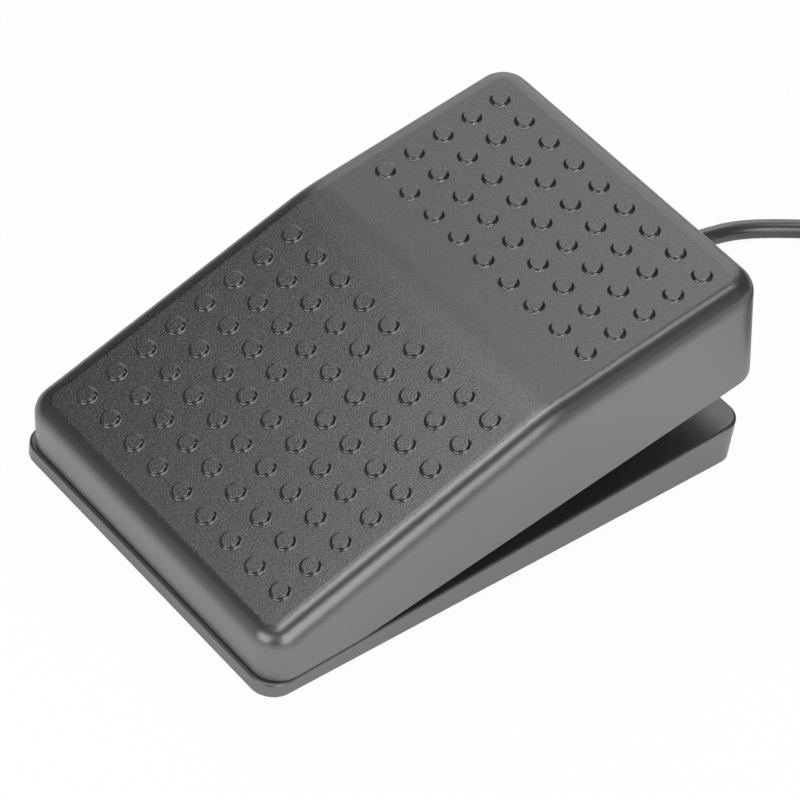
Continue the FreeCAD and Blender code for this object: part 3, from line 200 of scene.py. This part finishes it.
class StageSettings(PropertyGroup):
    world: FloatProperty(
        name="World", description="Strength of the even light from all round", default=0.09)
    overhead: FloatProperty(
        name="Overhead", description="Brightness of the soft box overhead", default=2.2)
    key: FloatProperty(name="Key", description="Brightness of the small high box in front", default=3.1)
    left: FloatProperty(name="Left", description="Brightness of the high soft box at the left", default=1.4)
    strip: FloatProperty(name="Strip", description="Brightness of the narrow box overhead", default=7.4)
    backdrop: FloatProperty(
        name="Backdrop", description="Brightness of the panel behind at the left", default=1.4)
    right: FloatProperty(name="Right", description="Brightness of the panel at the right", default=4.0)
    front: FloatProperty(name="Front", description="Brightness of the panel in front", default=3.8)
    fill: FloatProperty(name="Fill", description="Brightness of the soft fill beside the camera", default=0.6)
    low: FloatProperty(name="Low", description="Brightness of the low strip behind at the right", default=1.6)


class Value:
    """A number that varies over a surface, so that shader maths reads as plain arithmetic."""

    def __init__(self, shader, socket):
        self.shader = shader
        self.socket = socket

    def _maths(self, operation, a, b=None):
        inputs = {0: a} if b is None else {0: a, 1: b}
        return self.shader.node("ShaderNodeMath", inputs, operation=operation)

    def __add__(self, other):
        return self._maths("ADD", self, other)

    def __radd__(self, other):
        return self._maths("ADD", other, self)

    def __sub__(self, other):
        return self._maths("SUBTRACT", self, other)

    def __rsub__(self, other):
        return self._maths("SUBTRACT", other, self)

    def __mul__(self, other):
        return self._maths("MULTIPLY", self, other)

    def __rmul__(self, other):
        return self._maths("MULTIPLY", other, self)

    def abs(self):
        return self._maths("ABSOLUTE", self)

    def clamped(self):
        """This number held between 0 and 1."""
        held = self._maths("ADD", self, 0.0)
        held.socket.node.use_clamp = True
        return held

    def rise(self, low, high):
        """0 below low, 1 above high, and smooth between them."""
        return self.shader.node(
            "ShaderNodeMapRange",
            {"Value": self, "From Min": low, "From Max": high},
            out="Result",
            interpolation_type="SMOOTHSTEP",
        )


class Shader:
    """A material under construction."""

    def __init__(self, name):
        self.material = bpy.data.materials.new(name)
        self.material.use_nodes = True
        self.tree = self.material.node_tree
        self.tree.nodes.clear()
        self.surface = self.tree.nodes.new("ShaderNodeBsdfPrincipled")
        self.out = self.tree.nodes.new("ShaderNodeOutputMaterial")
        self.tree.links.new(self.surface.outputs[0], self.out.inputs["Surface"])

    def node(self, kind, inputs, out=0, **settings):
        """One node of any kind: settings first, then values or links, and the named output as a Value."""
        made = self.tree.nodes.new(kind)
        for key, setting in settings.items():
            setattr(made, key, setting)
        for key, given in inputs.items():
            self.put(made.inputs[key], given)
        return Value(self, made.outputs[out])

    def put(self, socket, given):
        if isinstance(given, Value):
            self.tree.links.new(given.socket, socket)
        else:
            socket.default_value = given

    def place(self):
        return self.node("ShaderNodeTexCoord", {}, out="Object")

    def scaled(self, factors):
        return self.node("ShaderNodeMapping", {"Vector": self.place(), "Scale": factors}, out="Vector")

    def axis(self, name):
        return self.node("ShaderNodeSeparateXYZ", {"Vector": self.place()}, out=name)

    def facing(self, name):
        """One component of the surface's own direction."""
        normal = self.node("ShaderNodeTexCoord", {}, out="Normal")
        return self.node("ShaderNodeSeparateXYZ", {"Vector": normal}, out=name)

    def along(self, way):
        """How far the surface's own direction lies along a unit vector, 1 where it is the same way."""
        normal = self.node("ShaderNodeTexCoord", {}, out="Normal")
        return self.node("ShaderNodeVectorMath", {0: normal, 1: way}, out="Value", operation="DOT_PRODUCT")

    def noise(self, size, detail=3.0, roughness=0.5):
        """Smooth random cloud whose patches are about the given size in metres."""
        inputs = {"Vector": self.place(), "Scale": 1.0 / size, "Detail": detail, "Roughness": roughness}
        return self.node("ShaderNodeTexNoise", inputs, out=0)

    def cells(self, size):
        """Distance to the nearest of random points that lie about the given size apart."""
        inputs = {"Vector": self.place(), "Scale": 1.0 / size, "Smoothness": 1.0}
        return self.node("ShaderNodeTexVoronoi", inputs, out="Distance", feature="SMOOTH_F1")

    def blend(self, amount, first, second):
        """Colour that goes from the first to the second as the amount goes from 0 to 1."""
        made = self.tree.nodes.new("ShaderNodeMix")
        made.data_type = "RGBA"
        self.put(made.inputs["Factor"], amount)
        for key, given in ((6, first), (7, second)):
            self.put(made.inputs[key], given if isinstance(given, Value) else (*given, 1.0))
        return Value(self, made.outputs[2])

    def bump(self, height, depth):
        """The surface's direction after raising it by height times depth in metres."""
        inputs = {"Height": height, "Distance": depth, "Strength": 1.0}
        return self.node("ShaderNodeBump", inputs, out="Normal")

    def finish(self, **sockets):
        """Fills the surface's sockets, with underscores in their names for spaces."""
        for key, given in sockets.items():
            socket = self.surface.inputs[key.replace("_", " ")]
            if not isinstance(given, Value) and hasattr(given, "__len__"):
                given = (*given, 1.0)
            self.put(socket, given)
        return self.material


def shade(colour, factor):
    """The colour made darker or lighter by a factor."""
    return tuple(c * factor for c in colour)


def pebbled_plastic(name, top, walls):
    """Dark moulded plastic: a fine crisp grain on the top's two flat zones, with painted glints and painted shade
    specks on that grain, and a smooth skin elsewhere; painted light makes the upright walls lighter than the top,
    and painted shade makes the studs' sides darker.
    """
    shader = Shader(name)
    flat = shader.along(TOP_WAY).rise(*FLAT_RISE)
    front = 1.0 - shader.facing("Y").rise(*REAR_RISE)
    upright = 1.0 - shader.facing("Z").rise(*UP_RISE)
    # Where the grain's bump and its painted glints and shade go: full on the front flat zone, half on the rear
    grain_and_glint_mask = flat * (front * 0.5 + 0.5)
    across = 1.0 - shader.axis("X").abs().rise(*STUDS_SIDE)
    lengthwise = shader.axis("Y").rise(*STUDS_FRONT) * (1.0 - shader.axis("Y").rise(*STUDS_REAR))
    studs = across * lengthwise * (1.0 - flat)
    pebbles = shader.cells(PEBBLE_SIZE)
    fine = shader.noise(FINE_SIZE, 1.0)
    clouds = shader.noise(0.02, 4.0)
    skin = shader.noise(SKIN_SIZE, 2.0) * 0.12 * (1.0 - flat)
    grain = (pebbles * 0.8 + fine * 1.2) * grain_and_glint_mask + skin
    # Painted light and shade: upright faces take the lighter walls colour, and faces that look up take the top's
    # darker colour
    painted_facing_tone = shader.blend(upright, top, walls)
    cloudy = shader.blend(clouds.rise(*CLOUD_RISE) * 0.12, painted_facing_tone, CLOUD_TONE)
    # Painted shade: the studs' sides and rims get half the top's colour, darker than the top around them
    painted_stud_shade_tone = shader.blend(studs, cloudy, shade(top, 0.5))
    # Painted glints and painted shade on the real grain: specks a tenth to half as bright as the top, and glints
    # 2.2 times as bright
    glint_specks = shader.noise(GLINT_SPECK_SIZE, 1.0)
    dark = shader.blend(glint_specks.rise(0.36, 0.48), shade(top, 0.1), shade(top, 0.55))
    grain_glints_and_shade = shader.blend(glint_specks.rise(0.54, 0.66), dark, shade(top, 2.2))
    rough = shader.noise(0.004, 3.0) * 0.04 + 0.28 - flat * 0.06 - studs * 0.19
    return shader.finish(
        Base_Color=shader.blend(grain_and_glint_mask, painted_stud_shade_tone, grain_glints_and_shade),
        Roughness=rough,
        Normal=shader.bump(grain, GRAIN_DEPTH),
        **GLOSS,
    )


def satin_plastic(name, colour, roughness=0.45):
    """Moulded plastic with a fine even skin and slight colour clouds."""
    shader = Shader(name)
    clouds = shader.noise(0.015, 4.0)
    fine = shader.noise(0.0003, 2.0)
    return shader.finish(
        Base_Color=shader.blend(clouds.rise(*CLOUD_RISE), shade(colour, 0.92), shade(colour, 1.08)),
        Roughness=shader.noise(0.003, 3.0) * 0.1 + (roughness - 0.05),
        Normal=shader.bump(fine, 0.00001),
        IOR=1.5,
    )


def base_plastic(name, top, walls):
    """The base's smooth plastic: painted shade makes it darker where it looks up, as the pedal's top is, and
    painted light makes it lighter on its walls.
    """
    shader = Shader(name)
    upright = 1.0 - shader.facing("Z").rise(*UP_RISE)
    clouds = shader.noise(0.012, 4.0)
    # Painted light and shade: lighter on the upright walls, darker where the base looks up
    painted_facing_tone = shader.blend(upright, top, walls)
    return shader.finish(
        Base_Color=shader.blend(clouds.rise(*CLOUD_RISE) * 0.10, painted_facing_tone, CLOUD_TONE),
        Roughness=shader.noise(0.003, 3.0) * 0.06 + 0.28,
        Normal=shader.bump(shader.noise(0.0010, 2.0), 0.00001),
        **GLOSS,
    )


def dull_rubber(name, colour):
    """Matte rubber with a fine grain and a dusty bloom."""
    shader = Shader(name)
    bloom = shader.noise(0.004, 5.0, 0.6)
    return shader.finish(
        Base_Color=shader.blend(bloom.rise(0.4, 0.75), colour, shade(colour, 1.5)),
        Roughness=bloom * 0.15 + 0.68,
        Normal=shader.bump(shader.noise(0.0004, 2.0), 0.00002),
    )


def drawn_metal(name, colour, roughness=0.3, along=(400.0, 400.0, 6000.0)):
    """Bare metal with fine drawn lines and faint stains."""
    shader = Shader(name)
    lines = shader.node(
        "ShaderNodeTexNoise", {"Vector": shader.scaled(along), "Scale": 1.0, "Detail": 2.0}, out=0)
    stains = shader.noise(0.003, 4.0)
    return shader.finish(
        Base_Color=shader.blend(stains.rise(0.45, 0.8), colour, shade(colour, 0.8)),
        Metallic=1.0,
        Roughness=lines * 0.12 + stains * 0.1 + (roughness - 0.1),
        Normal=shader.bump(lines, 0.000004),
    )


def jacket(name, colour):
    """The cord's soft jacket: satin, with faint lengthwise flow lines on its own UV map."""
    shader = Shader(name)
    uv = shader.node("ShaderNodeTexCoord", {}, out="UV")
    stretched = shader.node("ShaderNodeMapping", {"Vector": uv, "Scale": (30.0, 24.0, 1.0)}, out="Vector")
    flow = shader.node("ShaderNodeTexNoise", {"Vector": stretched, "Scale": 1.0, "Detail": 3.0}, out=0)
    dust = shader.noise(0.006, 5.0, 0.6)
    return shader.finish(
        Base_Color=shader.blend(dust.rise(0.45, 0.8), colour, shade(colour, 1.35)),
        Roughness=flow * 0.08 + dust * 0.06 + 0.24,
        Normal=shader.bump(flow, 0.00002),
        **GLOSS,
    )


def paint(node, material):
    """Give a piece of the frame one finish."""
    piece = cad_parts[node]
    piece.data.materials.clear()
    piece.data.materials.append(material)


def grid_mesh(name, points):
    """A mesh through points (along, round, 3): quads between neighbours, and a cap at each end."""
    along, around = points.shape[:2]
    left = np.arange(along * around).reshape(along, around)
    right = np.roll(left, -1, axis=1)
    quads = np.stack([left[:-1], right[:-1], right[1:], left[1:]], axis=-1).reshape(-1, 4)
    faces = quads.tolist() + [left[0][::-1].tolist(), left[-1].tolist()]
    mesh = bpy.data.meshes.new(name)
    mesh.from_pydata(points.reshape(-1, 3).tolist(), [], faces)
    mesh.update()
    piece = bpy.data.objects.new(name, mesh)
    bpy.context.scene.collection.objects.link(piece)
    return piece


def smooth(piece, degrees=35.0):
    """Shade a piece smooth, but keep the edges sharper than an angle."""
    piece.data.shade_smooth()
    piece.data.set_sharp_from_angle(angle=math.radians(degrees))


def frames_along(path):
    """Two unit vectors square to a path at each of its points, carried along it without twist."""
    tangents = np.gradient(path, axis=0)
    tangents /= np.linalg.norm(tangents, axis=1, keepdims=True)
    side = np.cross(tangents[0], (0.0, 0.0, 1.0))
    if np.linalg.norm(side) < 0.1:
        side = np.cross(tangents[0], (1.0, 0.0, 0.0))
    sides = np.empty_like(tangents)
    for k, tangent in enumerate(tangents):
        side = side - tangent * np.dot(side, tangent)
        side = side / np.linalg.norm(side)
        sides[k] = side
    return sides, np.cross(tangents, sides)


def tube_mesh(name, path, radius, around):
    """A round tube: each point of the path plus radius times (cos a, sin a) in the plane square to it."""
    sides, ups = frames_along(path)
    angle = np.linspace(0, 2 * np.pi, around, endpoint=False)
    ring = np.cos(angle)[None, :, None] * sides[:, None] + np.sin(angle)[None, :, None] * ups[:, None]
    return grid_mesh(name, path[:, None] + radius * ring)


def coil_point(turns):
    """Middle of the cord after a number of turns: a flat spiral that goes in and out, layer by layer."""
    layer = min(int(turns / COIL_TURNS_A_LAYER), COIL_LAYERS - 1)
    share = turns / COIL_TURNS_A_LAYER - layer
    drawn_in = share if layer % 2 == 0 else 1 - share
    radius = COIL_OUTER - COIL_PITCH * COIL_TURNS_A_LAYER * drawn_in
    level = 0.0
    for k in range(1, COIL_LAYERS):
        past = (turns - k * COIL_TURNS_A_LAYER + COIL_CLIMB) / (2 * COIL_CLIMB)
        level += (1 - math.cos(math.pi * min(max(past, 0.0), 1.0))) / 2
    angle = math.radians(COIL_START_ANGLE - 360 * turns)
    x = COIL_CENTRE[0] + radius * math.cos(angle)
    y = COIL_CENTRE[1] + radius * math.sin(angle)
    return np.array((x, y, COIL_LOW + level * COIL_LAYER))


def cord_route(diameter):
    """Control points of the whole cord: the lead, the coil's turns by a loop, and the tail."""
    total = COIL_LAYERS * COIL_TURNS_A_LAYER
    near = 0.02
    first = coil_point(near) - coil_point(0)
    last = coil_point(total) - coil_point(total - near)
    first /= np.linalg.norm(first)
    last /= np.linalg.norm(last)
    coil_start = coil_point(0) - first * diameter
    coil_end = coil_point(total) + last * diameter
    route = [np.array(p) for p in LEAD_ROUTE]
    route += [coil_start - first * LEAD_IN, coil_start]
    steps = int(total * COIL_POINTS_A_TURN)
    route += [coil_point(k / COIL_POINTS_A_TURN) for k in range(steps + 1)]
    route += [coil_end, coil_end + last * LEAD_OUT]
    route += [np.array(p) for p in TAIL_ROUTE]
    return route


class PEDAL_OT_housing(Operator):
    """Finish the cover, the base and the bottom plate"""
    bl_idname = "pedal.housing"
    bl_label = "Cover and base"

    def execute(self, context):
        colours = context.scene.pedal_colours
        top, walls = tuple(colours.top), tuple(colours.walls)
        paint("pedal_cover", pebbled_plastic("cover_plastic", top, walls))
        # The base is painted lighter on its walls and darker where it looks up, with its walls a little darker
        # than the cover's
        paint("base_housing", base_plastic("base_plastic", top, shade(walls, 0.88)))
        paint("bottom_plate", satin_plastic("plate_plastic", shade(walls, 0.8), 0.5))
        rubber = dull_rubber("rubber", tuple(colours.rubber))
        for node in ("rubber_feet", "stop_pads"):
            paint(node, rubber)
        return {"FINISHED"}


class PEDAL_OT_hardware(Operator):
    """Finish the screws, the hinge rod, the clamp, the switch and the wires"""
    bl_idname = "pedal.hardware"
    bl_label = "Switch and screws"

    def execute(self, context):
        colours = context.scene.pedal_colours
        steel = drawn_metal("steel", tuple(colours.steel))
        for node in ("bottom_screws", "hinge_rod", "switch_screws", "cord_clamp", "clamp_screws"):
            paint(node, steel)
        paint("switch_lever", drawn_metal("lever_steel", (0.62, 0.61, 0.58), 0.28, (300.0, 6000.0, 300.0)))
        paint("switch_terminals", drawn_metal("terminal_brass", (0.76, 0.62, 0.34), 0.3))
        paint("switch_case", satin_plastic("switch_case_plastic", (0.045, 0.042, 0.038), 0.5))
        paint("switch_cover", satin_plastic("switch_cover_plastic", (0.05, 0.046, 0.041), 0.45))
        paint("switch_button", satin_plastic("button_plastic", (0.45, 0.04, 0.03), 0.35))
        paint("wire_common", satin_plastic("white_wire", (0.72, 0.72, 0.69), 0.4))
        paint("wire_signal", satin_plastic("red_wire", (0.5, 0.03, 0.025), 0.4))
        paint("terminal_sleeves", satin_plastic("shrink_sleeve", (0.035, 0.035, 0.037), 0.5))
        return {"FINISHED"}


class PEDAL_OT_spring(Operator):
    """Make the return spring as a closed-ended compression spring"""
    bl_idname = "pedal.spring"
    bl_label = "Return spring"

    def execute(self, context):
        sizes = context.scene.pedal_spring
        low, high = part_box("return_spring")
        centre = (np.array(low) + np.array(high)) / 2
        end_rise = SPRING_END_RISE * sizes.wire
        height = high[2] - low[2] - sizes.wire
        open_turns = sizes.turns - 2 * SPRING_END_TURNS
        turns = np.linspace(0, sizes.turns, sizes.turns * SPRING_POINTS_A_TURN + 1)
        inner = np.clip(turns - SPRING_END_TURNS, 0, open_turns)
        middle = (height - 2 * SPRING_END_TURNS * end_rise) / open_turns
        rise = (turns - inner) * end_rise + inner * middle
        angle = 2 * np.pi * turns
        path = np.stack([
            centre[0] + sizes.radius * np.cos(angle),
            centre[1] + sizes.radius * np.sin(angle),
            low[2] + sizes.wire / 2 + rise,
        ], axis=1)
        spring = tube_mesh("spring_wire", path, sizes.wire / 2, SPRING_WIRE_SIDES)
        smooth(spring)
        spring.data.materials.append(drawn_metal("spring_steel", (0.5, 0.5, 0.52), 0.25))
        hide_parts("return_spring")
        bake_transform(spring)
        return {"FINISHED"}


class PEDAL_OT_relief(Operator):
    """Finish the tapered strain relief"""
    bl_idname = "pedal.relief"
    bl_label = "Strain relief"

    def execute(self, context):
        paint("strain_relief", satin_plastic("relief_rubber", tuple(context.scene.pedal_colours.cord), 0.5))
        return {"FINISHED"}


class PEDAL_OT_cord(Operator):
    """Lay the cord from the strain relief through its coil to the plug"""
    bl_idname = "pedal.cord"
    bl_label = "Cord"

    def execute(self, context):
        sizes = context.scene.pedal_cord
        colour = tuple(context.scene.pedal_colours.cord)
        route = cord_route(sizes.diameter)
        curve = bpy.data.curves.new("cord", "CURVE")
        curve.dimensions = "3D"
        curve.bevel_depth = sizes.diameter / 2
        curve.bevel_resolution = 6
        curve.use_fill_caps = True
        curve.resolution_u = 6
        spline = curve.splines.new("NURBS")
        spline.points.add(len(route) - 1)
        spline.points.foreach_set("co", np.c_[np.array(route), np.ones(len(route))].ravel())
        spline.order_u = 3
        spline.use_endpoint_u = True
        cord = bpy.data.objects.new("cord", curve)
        context.scene.collection.objects.link(cord)
        curve.materials.append(jacket("cord_jacket", colour))
        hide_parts("cord_lead", "cord_coil", "cord_tail")
        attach(cord, "base")
        paint("cord_inner", satin_plastic("inner_jacket", colour, 0.4))
        paint("coil_tie", satin_plastic("tie_band", (0.028, 0.028, 0.029), 0.42))
        return {"FINISHED"}


class PEDAL_OT_plug(Operator):
    """Finish the plug at the far end of the cord"""
    bl_idname = "pedal.plug"
    bl_label = "Plug"

    def execute(self, context):
        colour = tuple(context.scene.pedal_colours.cord)
        moulded = satin_plastic("plug_plastic", colour, 0.42)
        for node in ("plug_sleeve", "plug_body"):
            paint(node, moulded)
        nickel = drawn_metal("plug_nickel", (0.78, 0.77, 0.74), 0.16)
        for node in ("plug_barrel", "plug_tip"):
            paint(node, nickel)
        paint("plug_ring", satin_plastic("ring_plastic", (0.03, 0.03, 0.03), 0.3))
        return {"FINISHED"}


def soft_box(name, azimuth, elevation, width, height, brightness):
    """A soft lamp at LAMP_REACH from the pedal, its face so many times as bright as white."""
    lamp = bpy.data.lights.new(name, "AREA")
    lamp.shape = "RECTANGLE"
    lamp.size = width
    lamp.size_y = height
    lamp.energy = brightness * math.pi * width * height
    holder = bpy.data.objects.new(name, lamp)
    bpy.context.scene.collection.objects.link(holder)
    turn, lift = math.radians(azimuth), math.radians(elevation)
    back = np.array((math.cos(lift) * math.cos(turn), math.cos(lift) * math.sin(turn), math.sin(lift)))
    right = np.cross((0.0, 0.0, 1.0) if back[2] < 0.9 else (0.0, 1.0, 0.0), back)
    right = right / np.linalg.norm(right)
    axes = Matrix(np.array([right, np.cross(back, right), back]).T.tolist()).to_4x4()
    place = np.array(LAMP_MIDDLE) + LAMP_REACH * back
    holder.matrix_world = Matrix.Translation(place.tolist()) @ axes
    return holder


class PEDAL_OT_stage(Operator):
    """Set the camera, the pale floor and the soft lamps"""
    bl_idname = "pedal.stage"
    bl_label = "Stage"

    def execute(self, context):
        self.camera(context.scene)
        self.floor()
        self.light(context.scene)
        context.scene.view_settings.view_transform = "Standard"
        return {"FINISHED"}

    def camera(self, scene):
        lens = bpy.data.cameras.new("camera")
        lens.lens = CAMERA_LENS_MM
        lens.sensor_width = CAMERA_SENSOR_MM
        lens.clip_start = 0.01
        lens.clip_end = 20.0
        camera = bpy.data.objects.new("camera", lens)
        scene.collection.objects.link(camera)
        axes = np.array([CAMERA_RIGHT, -np.array(CAMERA_DOWN), -np.array(CAMERA_FORWARD)]).T
        camera.matrix_world = Matrix.Translation(CAMERA_PLACE) @ Matrix(axes.tolist()).to_4x4()
        scene.camera = camera

    def floor(self):
        corners = [(x * FLOOR_HALF, y * FLOOR_HALF, 0.0) for x, y in ((-1, -1), (1, -1), (1, 1), (-1, 1))]
        mesh = bpy.data.meshes.new("floor")
        mesh.from_pydata(corners, [], [(0, 1, 2, 3)])
        floor = bpy.data.objects.new("floor", mesh)
        bpy.context.scene.collection.objects.link(floor)
        floor.data.materials.append(self.floor_paint())

    def floor_paint(self):
        """White paint that still takes the object's shadow, and looks white to the camera and in gloss."""
        shader = Shader("floor_paint")
        shader.finish(Base_Color=FLOOR_PAINT, Roughness=0.9)
        glow = shader.tree.nodes.new("ShaderNodeEmission")
        glow.inputs["Strength"].default_value = 1.0
        ray = shader.tree.nodes.new("ShaderNodeLightPath")
        camera, gloss = (Value(shader, ray.outputs[name]) for name in ("Is Camera Ray", "Is Glossy Ray"))
        seen = camera * FLOOR_SEEN + gloss * FLOOR_MIRRORED
        mix = shader.tree.nodes.new("ShaderNodeMixShader")
        shader.put(mix.inputs[0], seen.clamped())
        shader.tree.links.new(shader.surface.outputs[0], mix.inputs[1])
        shader.tree.links.new(glow.outputs[0], mix.inputs[2])
        shader.tree.links.new(mix.outputs[0], shader.out.inputs["Surface"])
        return shader.material

    def light(self, scene):
        settings = scene.pedal_stage
        world = bpy.data.worlds.new("studio")
        scene.world = world
        world.use_nodes = True
        tree = world.node_tree
        background = tree.nodes["Background"]
        background.inputs["Color"].default_value = (1.0, 1.0, 1.0, 1.0)
        ray = tree.nodes.new("ShaderNodeLightPath")
        strength = tree.nodes.new("ShaderNodeMix")
        strength.data_type = "FLOAT"
        tree.links.new(ray.outputs["Is Camera Ray"], strength.inputs["Factor"])
        strength.inputs[2].default_value = settings.world
        strength.inputs[3].default_value = 1.0
        tree.links.new(strength.outputs[0], background.inputs["Strength"])
        for name, azimuth, elevation, width, height in SOFT_BOXES:
            soft_box(name, azimuth, elevation, width, height, getattr(settings, name))


class PEDAL_PT_panel(Panel):
    """The pedal's sizes, colours and making steps"""
    bl_idname = "PEDAL_PT_panel"
    bl_label = "Foot Pedal"
    bl_space_type = "VIEW_3D"
    bl_region_type = "UI"
    bl_category = "Pedal"

    def draw(self, context):
        for group in (context.scene.pedal_cord, context.scene.pedal_spring, context.scene.pedal_colours,
                      context.scene.pedal_stage):
            for key in group.__annotations__:
                self.layout.prop(group, key)
        for operator in OPERATORS:
            self.layout.operator(operator.bl_idname)


GROUPS = {
    "pedal_cord": CordSizes,
    "pedal_spring": SpringSizes,
    "pedal_colours": PedalColours,
    "pedal_stage": StageSettings,
}
OPERATORS = (
    PEDAL_OT_stage,
    PEDAL_OT_cord,
    PEDAL_OT_relief,
    PEDAL_OT_plug,
    PEDAL_OT_housing,
    PEDAL_OT_hardware,
    PEDAL_OT_spring,
)


def register():
    for group in GROUPS.values():
        bpy.utils.register_class(group)
    for operator in OPERATORS:
        bpy.utils.register_class(operator)
    bpy.utils.register_class(PEDAL_PT_panel)
    for name, group in GROUPS.items():
        setattr(bpy.types.Scene, name, PointerProperty(type=group))


def unregister():
    for name in GROUPS:
        delattr(bpy.types.Scene, name)
    bpy.utils.unregister_class(PEDAL_PT_panel)
    for operator in reversed(OPERATORS):
        bpy.utils.unregister_class(operator)
    for group in GROUPS.values():
        bpy.utils.unregister_class(group)


def main():
    register()
    bpy.ops.pedal.stage()
    bpy.ops.pedal.cord()
    bpy.ops.pedal.relief()
    bpy.ops.pedal.plug()
    bpy.ops.pedal.housing()
    bpy.ops.pedal.hardware()
    bpy.ops.pedal.spring()


if __name__ == "__main__":
    main()
